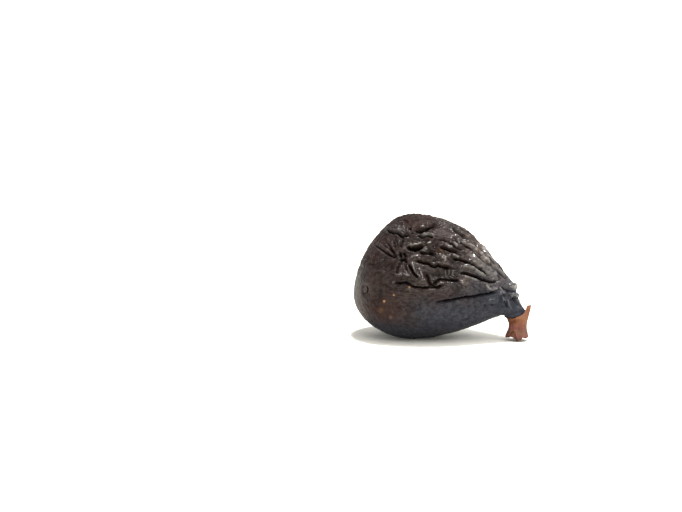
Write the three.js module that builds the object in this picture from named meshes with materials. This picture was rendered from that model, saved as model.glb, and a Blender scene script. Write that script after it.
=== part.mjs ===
// A dried black fig lying on its side, in millimetres, +Z up.
// X runs along the fruit from its eye to its stem, the carefully wrinkled side faces -Y,
// and Z is 0 on the surface that the fig lies on.

import * as THREE from 'three';
import { mergeVertices } from 'three/addons/utils/BufferGeometryUtils.js';

// Where the middle of the fig's whole box is, measured from the middle of its round body
const BOX_MIDDLE = new THREE.Vector3(7.515, -0.1, 0);

// Two rails carry the body: its upper and its lower outline as [x, z] Bezier curves,
// from the eye end over the widest place, the shoulder and the neck to the neck's tip
const UPPER_RAIL = [
  [[-13.6, 9.4], [-13.6, 17.4], [-7.0, 29.0], [0.3, 29.0]],
  [[0.3, 29.0], [5.0, 29.0], [10.1, 27.6], [13.1, 25.4]],
  [[13.1, 25.4], [15.0, 24.0], [20.0, 17.6], [23.4, 14.4]],
  [[23.4, 14.4], [24.8, 13.1], [25.3, 10.6], [25.8, 9.2]],
  [[25.8, 9.2], [26.5, 7.6], [29.4, 5.8], [25.3, 5.2]],
];
const LOWER_RAIL = [
  [[-13.6, 9.4], [-13.6, 4.8], [-7.6, -0.4], [-0.3, -0.4]],
  [[-0.3, -0.4], [4.0, -0.4], [7.6, 0.8], [11.4, 1.75]],
  [[11.4, 1.75], [14.4, 2.7], [18.6, 4.75], [21.4, 5.65]],
  [[21.4, 5.65], [21.9, 5.8], [22.2, 5.85], [22.4, 5.75]],
  [[22.4, 5.75], [23.2, 5.3], [23.8, 5.1], [25.3, 5.2]],
];
const RAIL_STEPS = 80;
// The body is a little wider than it is high near its eye end
const FULL_EYE_END = { share: 0.12, from: 22, to: 2 };

const FRUIT_DETAIL = 23;
// The skin's triangles are drawn this way, so that they are finest on the wrinkled side
const FINE_SIDE = new THREE.Vector3(0.02, -0.16, 0.16);
const WIDEST_RADIUS = 12;
const LEAST_RELIEF = 0.3;

// The side of the fig that the creases are drawn on is seen from this direction
const VIEW_AZIMUTH = THREE.MathUtils.degToRad(12);
const VIEW_ELEVATION = THREE.MathUtils.degToRad(9);

// The eye: its place as the angle from the end of the body and the angle around it
const EYE_ANGLE = THREE.MathUtils.degToRad(40.5);
const EYE_AROUND = THREE.MathUtils.degToRad(92);
const EYE_PIT = { depth: 0.55, spread: 0.13, calmFrom: 0.09, calmTo: 0.24 };

// Relief: heights, sizes in millimetres and seeds of the lumps, folds, wrinkles and fine net
const LUMPS = { height: 0.75, cell: 11, seed: 11 };
const BEND = { cell: 9, seed: 21 };
const FOLDS = { height: 0.95, perRadian: 4.6, cell: 14, bend: 0.32, seed: 22 };
const WRINKLES = { height: 0.42, perRadian: 8.7, cell: 8, bend: 0.27, seed: 23 };
const NET = { height: 0.26, least: 0.4, slope: 2.6, cell: 1.9, seed: 34 };
const NET_WARP = { share: 0.7, cell: 2.6, seeds: [31, 32, 33] };
const BELLY_PATCHES = { share: 0.3, cell: 7, seed: 51 };
const WRINKLED_PATCHES = { least: 0.75, most: 1.25, cell: 8, seed: 52 };
const SMOOTHEST = 0.85;
const WANDER = { reach: 0.12, cell: 0.9, seeds: [41, 42] };
const VALLEY_WIDTH = 0.2;
const FOLD_LEVEL = 0.7;
// The noise folds are this much lower on the near side, where creases are placed one by one
const NEAR_CALM = 0.75;
const NEAR_NET_CALM = 0.6;
// A crease's raised edges, and how much wider than its line it is cut
const SHOULDER_SHARE = 0.25;
const CREASE_SPREAD = 1.7;
const CREASE_DEPTH_SHARE = 0.85;
const LEAST_CREST_WIDTH = 0.5;
const SHOULDER_PLACE = 3;
const SHOULDER_WIDTH = 1.6;
// How the creases, raised folds and swellings fade over a share of their length at each end
const CREASE_ENDS = { share: 0.12, least: 0.3 };
const CREST_ENDS = { share: 0.2, least: 0.2 };
const SWELLING_ENDS = { share: 0.25, least: 0 };
// The relief starts this far back from the neck's tip, past the stem's collar, and is full after that
const PLAIN_TIP = 3.2;
const FULL_RELIEF = 5.8;

// Creases on the near side, as points right of the body's middle and above the surface
const CREASES = [
  // The sunken crease under the middle folds
  { depth: 1, width: 0.35, path: [
    [-4.2, 12.8], [-2.8, 12.8], [-1.2, 12.9], [-0.2, 12.4], [0.9, 11.9], [2.1, 11.8], [4.2, 11.8],
    [5.9, 11.9], [7.6, 12.6],
  ] },
  { depth: 0.8, width: 0.35, path: [[3.2, 14.9], [3.8, 14.1], [4, 13.1], [4.5, 12.4], [5.4, 12.2]] },
  { depth: 1, width: 0.35, path: [
    [5, 12.3], [5.8, 13.2], [6.6, 13.7], [8.3, 13.5], [9.7, 13.4], [11.2, 13.5],
  ] },
  // The long crease from the belly to the neck, with marks beside it
  { depth: 0.8, width: 0.35, path: [
    [5, 8.3], [6.8, 8.7], [8.3, 9], [9.7, 9.4], [11.1, 9.7], [14.6, 9.8], [16.5, 10.3], [17.9, 10.5],
    [19.4, 10.9], [20.3, 11.4],
  ] },
  { depth: 0.4, width: 0.35, path: [[16.6, 7.7], [17.7, 7.8], [18.6, 7.8], [19.4, 7.6], [19.9, 8]] },
  { depth: 0.3, width: 0.35, path: [[10.7, 6.1], [11.6, 6.6], [12.5, 7.5]] },
  { depth: 0.35, width: 0.4, path: [[10.9, 3.3], [12.3, 4], [13.7, 4.6]] },
  // Creases that run from the pucker to the neck
  { depth: 1, width: 0.4, path: [
    [0.8, 18.1], [2.8, 17.6], [4, 17.3], [4.7, 16.8], [5.5, 16.6], [6.1, 17], [6.8, 16.7],
    [9.2, 16.4],
  ] },
  { depth: 0.9, width: 0.3, path: [[-0.9, 17.4], [-0.2, 16.4], [0.4, 15.5], [0.7, 14.8], [1.6, 13.8]] },
  { depth: 1, width: 0.4, path: [
    [9.4, 18.9], [10.1, 18.4], [11.3, 18.3], [12.7, 17.8], [14.2, 17], [15.6, 16.2], [16.8, 15.4],
    [17.7, 14.8],
  ] },
  { depth: 0.9, width: 0.35, path: [
    [11, 15.1], [12.3, 15.2], [14.4, 14.5], [16.8, 13.6], [17.9, 13.2], [18.9, 13.2], [20.1, 13.5],
  ] },
  { depth: 0.8, width: 0.4, path: [[6.6, 21.4], [7.8, 20.8], [8.7, 20.6], [10.6, 19.8]] },
  { depth: 0.7, width: 0.3, path: [[1.9, 20], [2.8, 19.7], [4.5, 19.7], [5.2, 19.3]] },
  { depth: 1, width: 0.4, path: [[-1.1, 21.4], [-0.2, 21], [0.9, 20.9], [2.1, 21.1], [3.1, 21.5]] },
  // Creases down the shoulder towards the neck
  { depth: 1.1, width: 0.35, path: [
    [11.1, 22.6], [12.7, 21.4], [13.8, 20.9], [14.9, 19.7], [16, 18.4], [17.2, 17.6], [19.6, 15.7],
    [21.6, 14.3],
  ] },
  { depth: 0.9, width: 0.32, path: [[9.3, 26.5], [10.1, 25.5], [11.1, 24.7], [12, 23.7], [13, 23]] },
  { depth: 0.9, width: 0.32, path: [
    [13.7, 23.7], [14.9, 22.6], [15.8, 21.5], [16.5, 20.6], [17.5, 19.3],
  ] },
  { depth: 0.6, width: 0.3, path: [
    [6.1, 22.9], [7.3, 22.9], [8.7, 22.6], [9.7, 21.6], [10.9, 20.9], [12.5, 20.7],
  ] },
  { depth: 0.7, width: 0.3, path: [[10.4, 23], [11.1, 22]] },
  // Creases over the top
  { depth: 0.8, width: 0.3, path: [
    [-5.8, 25.2], [-5, 24.6], [-4, 24.3], [-3.1, 24.2], [-2.5, 23.7], [-1.9, 23.6], [-1.2, 23.7],
  ] },
  { depth: 0.8, width: 0.35, path: [[-0.4, 25.6], [-0.2, 24.9]] },
  { depth: 0.9, width: 0.3, path: [[-0.1, 24.4], [0.9, 24.3], [2.6, 24.5]] },
  { depth: 0.9, width: 0.3, path: [
    [0.7, 24.9], [2.1, 24.9], [3.1, 25], [3.8, 25.5], [5, 26.1], [5.8, 26.5],
  ] },
  { depth: 0.7, width: 0.3, path: [[1.2, 23.9], [2.5, 23.4], [3.5, 23.8], [4.5, 23.7], [5, 23.2]] },
  { depth: 0.35, width: 0.35, path: [[-1.9, 27.5], [-1.1, 26.8], [-1.5, 25.4]] },
  { depth: 0.25, width: 0.35, path: [[0.8, 28.6], [1.3, 27.3]] },
  { depth: 0.5, width: 0.35, path: [[6.1, 27.4], [6.8, 26.8], [7.6, 26.3]] },
  // Rays of the pucker, clockwise from the left
  { depth: 0.7, width: 0.35, path: [
    [-8.9, 21.8], [-8.3, 21.5], [-6.6, 20.3], [-5.2, 19.4], [-3.8, 18.8],
  ] },
  { depth: 0.6, width: 0.3, path: [[-6, 22.4], [-5.1, 21.4], [-4.5, 20.2], [-3.8, 19.1]] },
  { depth: 0.6, width: 0.3, path: [[-4.1, 22.6], [-3.9, 21.1]] },
  { depth: 0.6, width: 0.3, path: [[-1.8, 23.4], [-2.2, 22.3], [-2.6, 21.3]] },
  { depth: 0.7, width: 0.3, path: [[-2.8, 20.4], [-2.5, 18.9]] },
  { depth: 0.5, width: 0.3, path: [[-1.9, 20.2], [-1.3, 18.9]] },
  { depth: 0.7, width: 0.35, path: [[-2.6, 18.2], [-1.7, 18.4], [-1.1, 17.7]] },
  { depth: 0.5, width: 0.3, path: [[-1.4, 17.5], [-1.4, 16.7], [-1.1, 15.7]] },
  { depth: 0.4, width: 0.3, path: [[-2.4, 18.3], [-2.9, 17.1], [-3.3, 15.7], [-3.4, 14.5]] },
  // Faint marks on the smooth left side and the belly
  { depth: 0.5, width: 0.35, path: [[-7.7, 17.8], [-9, 17.3], [-9.7, 17.1]] },
  { depth: 0.25, width: 0.5, path: [[-12, 16.9], [-11.8, 16.5], [-11.1, 16.3]] },
  { depth: 0.35, width: 0.3, path: [[-7.3, 18.6], [-5.7, 18.7]] },
  { depth: 0.4, width: 0.3, path: [[-8.7, 15], [-8, 15.4], [-7.3, 15.6]] },
  { depth: 0.4, width: 0.3, path: [[-6.8, 16], [-5.9, 15.8]] },
  { depth: 0.3, width: 0.4, path: [[-6.8, 12.8], [-5.2, 11.9], [-4, 11.5]] },
  { depth: 0.3, width: 0.35, path: [[2.8, 9.1], [3.8, 9.9], [4.5, 10.3], [5.2, 11.1]] },
  { depth: 0.2, width: 0.35, path: [[0.2, 8.2], [0.7, 9.6]] },
  // Folds round the neck
  { depth: 0.4, width: 0.3, path: [[22.2, 10.9], [24.8, 11.2], [26, 11.1]] },
  { depth: 0.45, width: 0.35, path: [[22.9, 9], [25, 9.6], [26.2, 9.7]] },
  { depth: 0.6, width: 0.5, path: [[20.8, 12.2], [21.9, 11.6], [23.1, 11.1]] },
  { depth: 0.25, width: 0.3, path: [[21.5, 10.8], [21.5, 8.9], [22.2, 7.2]] },
  { depth: 0.25, width: 0.3, path: [[22.5, 10.5], [22.4, 8.6], [22.9, 7.2]] },
  { depth: 0.3, width: 0.3, path: [[23.4, 10.1], [23.8, 8.6], [24.8, 7.2]] },
];
// Raised folds on the near side, in the same way
const CRESTS = [
  // Knobs at the neck's edge
  { height: 0.6, width: 0.55, path: [[22.4, 12.6], [24, 12.3], [25, 11.9], [26, 11.7]] },
  { height: 0.6, width: 0.5, path: [[22.9, 10.4], [24.2, 10.6], [25.3, 10.6], [26.2, 10.5]] },
  // Glossy edges and lips of the folds
  { height: 0.55, width: 0.4, path: [[0.1, 18], [0.5, 16.7], [0.9, 15.2]] },
  { height: 0.35, width: 0.35, path: [[2.1, 15.7], [2.5, 14.8], [2.7, 13.7]] },
  { height: 0.4, width: 0.35, path: [[-0.8, 21.9], [0.2, 21.5], [1.2, 21.7], [2.1, 22], [2.2, 22.6]] },
  { height: 0.6, width: 0.4, path: [
    [11.4, 16.5], [12.3, 16.9], [13.2, 16.9], [14.2, 16.4], [15.1, 15.6], [16, 15.1], [17.5, 14.3],
  ] },
  { height: 0.35, width: 0.4, path: [[11.6, 14.5], [13.2, 14.3], [14.6, 13.8], [15.5, 13.5]] },
  { height: 0.4, width: 0.3, path: [[2.5, 23.9], [3.8, 24.1], [4.6, 24.1], [5.2, 23.7], [5.2, 23.2]] },
  { height: 0.35, width: 0.35, path: [[2.2, 20.6], [3.3, 20.2]] },
  { height: 0.4, width: 0.4, path: [[2.4, 21.1], [3.8, 20.7]] },
  { height: 0.4, width: 0.4, path: [[3.5, 22], [4.7, 22.3]] },
  { height: 0.45, width: 0.35, path: [[7.6, 22], [8.5, 21.4], [9.4, 20.9]] },
  { height: 0.35, width: 0.3, path: [[9.7, 22.3], [10.7, 21.3]] },
  { height: 0.3, width: 0.3, path: [[10.6, 23.2], [11.4, 22.2]] },
  { height: 0.4, width: 0.4, path: [[11.6, 22.9], [12.6, 22.1]] },
  { height: 0.4, width: 0.35, path: [[9, 22.8], [9.2, 23.6], [9.9, 24], [10.9, 24]] },
  { height: 0.4, width: 0.6, path: [[13, 22.3], [14.4, 21.1], [15.3, 20.2]] },
  { height: 0.4, width: 0.6, path: [[15.8, 20.2], [17, 18.7], [17.9, 17.7]] },
  { height: 0.45, width: 0.4, path: [
    [16.3, 21.4], [17.2, 20.2], [18.2, 18.9], [18.9, 17.8], [20.1, 16.7], [21.2, 15.5],
  ] },
  { height: 0.35, width: 0.3, path: [[18.6, 17.3], [20.1, 16.1], [21.2, 15.1], [21.9, 14.5]] },
  { height: 0.45, width: 1.1, path: [[13.2, 20], [15.6, 17.8], [18.4, 15.5], [20.3, 14.1]] },
  { height: 0.35, width: 0.35, path: [[9.3, 19.7], [10.1, 19.3], [11, 18.7]] },
  { height: 0.3, width: 0.3, path: [[7, 18.5], [7.3, 19.3], [7.9, 19], [7.6, 17.7]] },
  { height: 0.3, width: 0.35, path: [[7.8, 16.1], [7.8, 15], [8.1, 14.1]] },
  { height: 0.3, width: 0.3, path: [[8.7, 16.1], [8.6, 14.5]] },
  { height: 0.35, width: 0.4, path: [[9.7, 16.1], [9.2, 14.1]] },
  { height: 0.4, width: 0.3, path: [[11.1, 13.8], [11.9, 12.8]] },
  { height: 0.55, width: 0.5, path: [[5.7, 12.7], [6.6, 13], [7.6, 13]] },
  { height: 0.3, width: 0.35, path: [[-3.8, 14.6], [-3.1, 14.9], [-2.1, 14.6]] },
  { height: 0.3, width: 0.35, path: [[-4.5, 12.6], [-3.8, 13.4]] },
  { height: 0.3, width: 0.45, path: [[-0.4, 18.7], [0.5, 19.2], [1.9, 19.3]] },
  { height: 0.5, width: 0.3, path: [[-2.8, 25.2], [-2.6, 24.6]] },
  { height: 0.3, width: 0.35, path: [[2.6, 26.5], [2.6, 25.6]] },
  { height: 0.3, width: 0.35, path: [[3.7, 26.5], [3.7, 25.6]] },
  { height: 0.25, width: 0.3, path: [[10.1, 8.7], [10.6, 9.1], [11, 8.6]] },
  { height: 0.25, width: 0.45, path: [[17.7, 9.1], [18.6, 9.3], [19.6, 9.7]] },
  { height: 0.35, width: 0.45, path: [[17, 13], [17.5, 12.2], [18.2, 11.5], [20.3, 11.7]] },
];
// Broad folds and hollows of the near side, added up
const SWELLINGS = [
  // The sunken middle and the fold over its lower edge
  { height: -0.6, width: 1.3, path: [[1.4, 15.6], [5, 14.2], [10.6, 14.9]] },
  { height: 0.35, width: 0.9, path: [[-3.3, 13.9], [0.9, 13.6], [4.2, 12.9]] },
  { height: 0.3, width: 1.2, path: [[6.6, 11.1], [12.3, 11.8], [18.4, 11.9]] },
  // The hollow of the pucker's right side and the folds above it
  { height: -0.4, width: 1.2, path: [[-2, 21.9], [1.2, 20.4], [5.9, 19.8]] },
  { height: 0.35, width: 0.9, path: [[1.9, 18.9], [5.9, 18.4], [9.4, 17.5]] },
  { height: 0.3, width: 1, path: [[-1, 23.4], [2.8, 23.1], [6.6, 22.3]] },
  // Ridges of the shoulder
  { height: 0.4, width: 0.9, path: [[13.4, 20], [16.5, 16.8], [20.1, 14.3]] },
  { height: 0.4, width: 0.7, path: [[13.7, 22.7], [17, 19.2], [19.8, 16.6], [22.2, 14.3]] },
  { height: 0.35, width: 0.8, path: [[11.6, 17], [14.6, 15.8], [17.5, 14.3]] },
];
const PUCKER = { u: -2.4, v: 18.8, depth: 0.8, spread: 3.2 };

// The stem: a stub that cups the neck's tip, with bracts on its collar, and a torn lower end
const STEM_SIDES = 72;
const STEM_GAP = 0.32;
const COLLAR_THICKNESS = 0.42;
const COLLAR_REACH = 2.2;
const BRACTS = [
  { around: 0, spread: 0.6, reach: 0.7, flare: 0.1, thickness: 0 },
  { around: 3.1, spread: 0.5, reach: 2.6, flare: 0, thickness: -0.1 },
  { around: 4.6, spread: 0.5, reach: 0.7, flare: 0.2, thickness: 0 },
];
// One bract stands off as a horn that leans out and rises, with a tip that hooks back in
const HORN = { around: 0.05, spread: 0.26, reach: 0.8, thickness: 0.45, lean: 1.3, rise: 0.2, hook: 0.45 };
const STEM_X = 25.42;
// The stub's radius at heights above the surface
const STUB_PROFILE = [[0, 2.4], [0.8, 2.62], [1.4, 2.55], [2.2, 2.28], [3, 2.17], [4, 2.16]];
const STUB_LOBES = { size: 0.03, count: 3, start: 0.6 };
const STUB_RIPPLE = { size: 0.08, perRadian: 2.2, seed: 63 };
// Where the stem's rings lie: shares of the collar's reach, of the throat below it and of the skirt
const INNER_SHARES = [0.2, 0.4, 0.6, 0.75, 0.9, 1];
const RIM_SHARE = 1.03;
const OUTER_SHARES = [0.97, 0.85];
const THROAT_SHARES = [0.33, 0.67];
const SKIRT_SHARES = [1, 0.7, 0.4, 0.15, 0];
const STUB_TOP = 4;
const SKIRT_TOP = 3.2;
// The torn lower end: angles round the stub with the heights of its wall and of its torn core
const WALL_EDGE = [
  [0.2, 0.6], [0.65, 0.5], [0.85, 0.7], [1.0, 0.2], [1.13, 0], [1.26, 0], [1.4, 0.7], [1.65, 1.9],
  [1.95, 2.4], [2.25, 1.9], [2.5, 1.1], [2.8, 0.85], [3.2, 0.9], [3.7, 1.0], [4.3, 0.9],
  [4.9, 0.5], [5.6, 0.4],
];
const CORE_EDGE = [
  [0.2, 0.65], [0.85, 0.75], [1.0, 0.3], [1.2, 0.05], [1.5, 0.5], [1.8, 1.2], [2.15, 1.5],
  [2.5, 1.2], [2.8, 0.95], [3.2, 0.95], [3.7, 1.05], [4.3, 0.95], [4.9, 0.6], [5.6, 0.5],
];
// Rings across the torn end: their share of the stub's radius and their height above the edge
const WALL_LIP = { radius: 0.86, above: 0.05 };
const CORE_LIPS = [{ radius: 0.78, above: 0.08 }, { radius: 0.64, above: 0.2 }];
const HOLLOW = { radius: 0.45, height: 2.0, follow: 0.3, top: 2.5 };

// The scaly button in the eye's pit
const BUTTON_SIDES = 28;
const BUTTON_RINGS = 6;
const BUTTON_SPREAD = 0.06;
const BUTTON_GAP = 0.32;
const BUTTON_THICKNESS = 0.42;
const BUTTON_SCALES = 7;
const BUTTON_TWIST = 2.5;
// The button's height at its middle and between its scales, as shares of its thickness
const BUTTON_MIDDLE = 0.35;
const BUTTON_EDGE = 0.55;
const BUTTON_VALLEY = 0.6;

function smooth(low, high, value) {
  const t = THREE.MathUtils.clamp((value - low) / (high - low), 0, 1);
  return t * t * (3 - 2 * t);
}

function latticeHash(i, j, k, seed) {
  let hash = Math.imul(i, 374761393) + Math.imul(j, 668265263);
  hash += Math.imul(k, 1274126177) + Math.imul(seed, 974634777);
  hash = Math.imul(hash ^ (hash >>> 13), 1103515245);
  hash = Math.imul(hash ^ (hash >>> 15), 2246822519);
  return (hash ^ (hash >>> 16)) >>> 0;
}

// Smooth gradient noise with one cell to a unit, from about -0.8 to 0.8
function noise(x, y, z, seed) {
  const [i, j, k] = [Math.floor(x), Math.floor(y), Math.floor(z)];
  const [fx, fy, fz] = [x - i, y - j, z - k];
  const fade = (t) => t * t * t * (t * (t * 6 - 15) + 10);
  const gradient = (hash, shift) => ((hash >>> shift) & 1023) / 511.5 - 1;
  let total = 0;
  for (let corner = 0; corner < 8; corner += 1) {
    const [di, dj, dk] = [corner & 1, (corner >> 1) & 1, corner >> 2];
    const hash = latticeHash(i + di, j + dj, k + dk, seed);
    const slope = gradient(hash, 0) * (fx - di) + gradient(hash, 10) * (fy - dj)
      + gradient(hash, 20) * (fz - dk);
    const weight = (di ? fade(fx) : 1 - fade(fx)) * (dj ? fade(fy) : 1 - fade(fy))
      * (dk ? fade(fz) : 1 - fade(fz));
    total += slope * weight;
  }
  return total;
}

function noiseAt(point, cell, seed) {
  return noise(point.x / cell, point.y / cell, point.z / cell, seed);
}

// Rounded ridges between sharp valleys, 0 in a valley and 1 on a ridge
function ridges(value) {
  return Math.min(Math.abs(value) * NET.slope, 1);
}

// A rail as a list of points, with each Bezier curve cut into the same number of steps
function railPoints(curves) {
  const points = [];
  curves.forEach((corners, index) => {
    const curve = new THREE.CubicBezierCurve(...corners.map(([x, z]) => new THREE.Vector2(x, z)));
    for (let step = index ? 1 : 0; step <= RAIL_STEPS; step += 1) {
      points.push(curve.getPoint(step / RAIL_STEPS));
    }
  });
  return points;
}

const UPPER = railPoints(UPPER_RAIL);
const LOWER = railPoints(LOWER_RAIL);

// How far along the body each pair of rail points lies
const LENGTHS = [0];
for (let step = 1; step < UPPER.length; step += 1) {
  const upperStep = UPPER[step].distanceTo(UPPER[step - 1]);
  const lowerStep = LOWER[step].distanceTo(LOWER[step - 1]);
  LENGTHS.push(LENGTHS[step - 1] + (upperStep + lowerStep) / 2);
}
const BODY_LENGTH = LENGTHS[LENGTHS.length - 1];

// The round section at a length along the body: its middle, half height and upward direction
function section(length) {
  let low = 0;
  let high = LENGTHS.length - 1;
  while (high - low > 1) {
    const middle = (low + high) >> 1;
    if (LENGTHS[middle] <= length) low = middle;
    else high = middle;
  }
  const share = (length - LENGTHS[low]) / (LENGTHS[high] - LENGTHS[low]);
  const upper = UPPER[low].clone().lerp(UPPER[high], share);
  const lower = LOWER[low].clone().lerp(LOWER[high], share);
  return { middle: upper.clone().add(lower).multiplyScalar(0.5), across: upper.sub(lower) };
}

const END_MARGIN = 0.02;

function bodyPoint(length, around) {
  const { middle, across } = section(length);
  const inside = THREE.MathUtils.clamp(length, END_MARGIN, BODY_LENGTH - END_MARGIN);
  const out = section(inside).across.normalize();
  const radius = across.length() / 2;
  const breadth = 1 + FULL_EYE_END.share * smooth(FULL_EYE_END.from, FULL_EYE_END.to, length);
  const rise = radius * Math.cos(around);
  const point = new THREE.Vector3(
    middle.x + rise * out.x, -radius * breadth * Math.sin(around), middle.y + rise * out.y);
  return { point, middle, radius, breadth, out };
}

// A place on the smooth body, before any relief, with its outward direction
function bodyPlace(length, around) {
  const place = bodyPoint(length, around);
  const step = 0.05;
  const after = bodyPoint(Math.min(length + step, BODY_LENGTH), around).point;
  const before = bodyPoint(Math.max(length - step, 0), around).point;
  const sideways = new THREE.Vector3(
    -Math.sin(around) * place.out.x,
    -Math.cos(around) * place.breadth,
    -Math.sin(around) * place.out.y);
  place.normal = sideways.cross(after.sub(before)).normalize();
  return place;
}

// Each unit direction stands for one place on the body: -X is the eye end and +X the neck's tip
function placeOf(direction) {
  const angle = Math.acos(THREE.MathUtils.clamp(-direction.x, -1, 1));
  const length = angle / Math.PI * BODY_LENGTH;
  const place = bodyPlace(length, Math.atan2(-direction.y, direction.z));
  place.length = length;
  return place;
}

const EYE = new THREE.Vector3(
  -Math.cos(EYE_ANGLE),
  -Math.sin(EYE_ANGLE) * Math.sin(EYE_AROUND),
  Math.sin(EYE_ANGLE) * Math.cos(EYE_AROUND));

// The direction with the eye end moved onto the eye, so that the folds start from it
function fromEye(direction) {
  const share = ((1 - direction.x) / (1 - EYE.x)) ** 2;
  const shift = new THREE.Vector3(1, 0, 0).add(EYE).multiplyScalar(share);
  return direction.clone().sub(shift).normalize();
}

const SIDE_RIGHT = new THREE.Vector3(Math.cos(VIEW_AZIMUTH), Math.sin(VIEW_AZIMUTH), 0);
const SIDE_UP = new THREE.Vector3(
  -Math.sin(VIEW_AZIMUTH) * Math.sin(VIEW_ELEVATION),
  Math.cos(VIEW_AZIMUTH) * Math.sin(VIEW_ELEVATION),
  Math.cos(VIEW_ELEVATION));
const TO_VIEWER = SIDE_RIGHT.clone().cross(SIDE_UP);

// How near a point of the side view is to a crease, and how far along the crease that is
function nearestOnPath(u, v, path) {
  const sizes = path.slice(1).map(([x, y], i) => Math.hypot(x - path[i][0], y - path[i][1]));
  const total = sizes.reduce((sum, size) => sum + size, 0);
  let nearest = { distance: Infinity, share: 0 };
  let done = 0;
  sizes.forEach((size, i) => {
    const [[x0, y0], [x1, y1]] = [path[i], path[i + 1]];
    const t = THREE.MathUtils.clamp(
      ((u - x0) * (x1 - x0) + (v - y0) * (y1 - y0)) / (size * size), 0, 1);
    const distance = Math.hypot(u - x0 - t * (x1 - x0), v - y0 - t * (y1 - y0));
    if (distance < nearest.distance) nearest = { distance, share: (done + t * size) / total };
    done += size;
  });
  return nearest;
}

// 1 along a path, and less near both of its ends
function endsTaper(share, ends) {
  return ends.least + (1 - ends.least) * smooth(0, ends.share, share) * smooth(1, 1 - ends.share, share);
}

// The hand-placed creases, raised folds, swellings and pucker, as a height on the near side
function placedHeight(point, facing) {
  const u = point.dot(SIDE_RIGHT);
  const v = point.dot(SIDE_UP);
  const [wanderU, wanderV] = WANDER.seeds.map(
    (seed, axis) => [u, v][axis] + WANDER.reach * noiseAt(point, WANDER.cell, seed));
  let height = 0;
  for (const { depth, width, path } of CREASES) {
    const { distance, share } = nearestOnPath(wanderU, wanderV, path);
    const taper = endsTaper(share, CREASE_ENDS);
    const reach = CREASE_SPREAD * width;
    const groove = Math.exp(-(distance / reach));
    const shoulder = Math.exp(-(((distance - SHOULDER_PLACE * reach) / (SHOULDER_WIDTH * reach)) ** 2));
    height += CREASE_DEPTH_SHARE * taper * depth * (SHOULDER_SHARE * shoulder - groove);
  }
  let raised = 0;
  for (const crest of CRESTS) {
    const { distance, share } = nearestOnPath(wanderU, wanderV, crest.path);
    const taper = endsTaper(share, CREST_ENDS);
    const width = Math.max(crest.width, LEAST_CREST_WIDTH);
    raised = Math.max(raised, taper * crest.height * Math.exp(-((distance / width) ** 2)));
  }
  for (const swelling of SWELLINGS) {
    const { distance, share } = nearestOnPath(u, v, swelling.path);
    const taper = endsTaper(share, SWELLING_ENDS);
    height += taper * swelling.height * Math.exp(-((distance / swelling.width) ** 2));
  }
  const fromPucker = Math.hypot(u - PUCKER.u, v - PUCKER.v);
  height -= PUCKER.depth * Math.exp(-((fromPucker / PUCKER.spread) ** 2));
  return smooth(-0.3, 0.1, facing) * (height + raised);
}

// How wrinkled the skin is: most on top and towards the neck, least on the belly and by the eye
function wrinkledShare(point, normal, middle, eyeAngle) {
  const bellyPatch = noiseAt(point, BELLY_PATCHES.cell, BELLY_PATCHES.seed);
  const belly = smooth(0.1, 0.9, -normal.z + BELLY_PATCHES.share * bellyPatch);
  const v = point.dot(SIDE_UP);
  const eyeEnd = smooth(3, -7, middle.x + 0.25 * (v - 14)) * smooth(19, 11, v);
  const patch = noiseAt(point, WRINKLED_PATCHES.cell, WRINKLED_PATCHES.seed);
  const { least, most } = WRINKLED_PATCHES;
  const patches = THREE.MathUtils.lerp(least, most, smooth(-0.3, 0.3, patch));
  return (1 - SMOOTHEST * Math.max(belly, eyeEnd)) * patches * smooth(0.1, 0.35, eyeAngle);
}

// Smooth folds with thin valleys between them, drawn out along the fruit
function foldsRound(around, length, bend, folds) {
  const turned = around + folds.bend * bend;
  const value = noise(
    folds.perRadian * Math.cos(turned), folds.perRadian * Math.sin(turned), length / folds.cell, folds.seed);
  return folds.height * (1 - Math.exp(-Math.abs(value) / VALLEY_WIDTH) - FOLD_LEVEL);
}

function netHeight(point) {
  const warped = [point.x, point.y, point.z].map(
    (part, axis) => part / NET.cell
      + NET_WARP.share * noiseAt(point, NET_WARP.cell, NET_WARP.seeds[axis]));
  return NET.height * (ridges(noise(...warped, NET.seed)) - 0.5);
}

function reliefHeight(direction, { point, normal, middle, radius, length }) {
  const swung = fromEye(direction);
  const eyeAngle = Math.acos(THREE.MathUtils.clamp(-swung.x, -1, 1));
  const around = Math.atan2(-swung.y, swung.z);
  const wrinkled = wrinkledShare(point, normal, middle, eyeAngle);
  const slimness = THREE.MathUtils.clamp(radius / WIDEST_RADIUS, LEAST_RELIEF, 1);
  const bend = noiseAt(point, BEND.cell, BEND.seed);
  const facing = normal.dot(TO_VIEWER);
  const calm = smooth(-0.7, 0, facing);

  let height = LUMPS.height * slimness * noiseAt(point, LUMPS.cell, LUMPS.seed);
  const folded = foldsRound(around, length, bend, FOLDS) + foldsRound(around, length, bend, WRINKLES);
  height += (1 - NEAR_CALM * calm) * wrinkled * slimness * folded;
  const netted = (1 - NEAR_NET_CALM * calm) * (NET.least + (1 - NET.least) * wrinkled);
  height += netted * slimness * netHeight(point);
  height += placedHeight(point, facing);

  const fromPit = Math.acos(THREE.MathUtils.clamp(direction.dot(EYE), -1, 1));
  height *= smooth(EYE_PIT.calmFrom, EYE_PIT.calmTo, fromPit);
  height -= EYE_PIT.depth * Math.exp(-((fromPit / EYE_PIT.spread) ** 4));
  return height * smooth(PLAIN_TIP, FULL_RELIEF, BODY_LENGTH - length);
}

// The skin at a direction, raised a little more by lift, and flat where it rests on the surface
function skinPoint(direction, lift = 0) {
  const place = placeOf(direction);
  const { point, normal } = place;
  point.addScaledVector(normal, reliefHeight(direction, place) + lift);
  point.z = Math.max(point.z, 0);
  return point;
}

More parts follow.
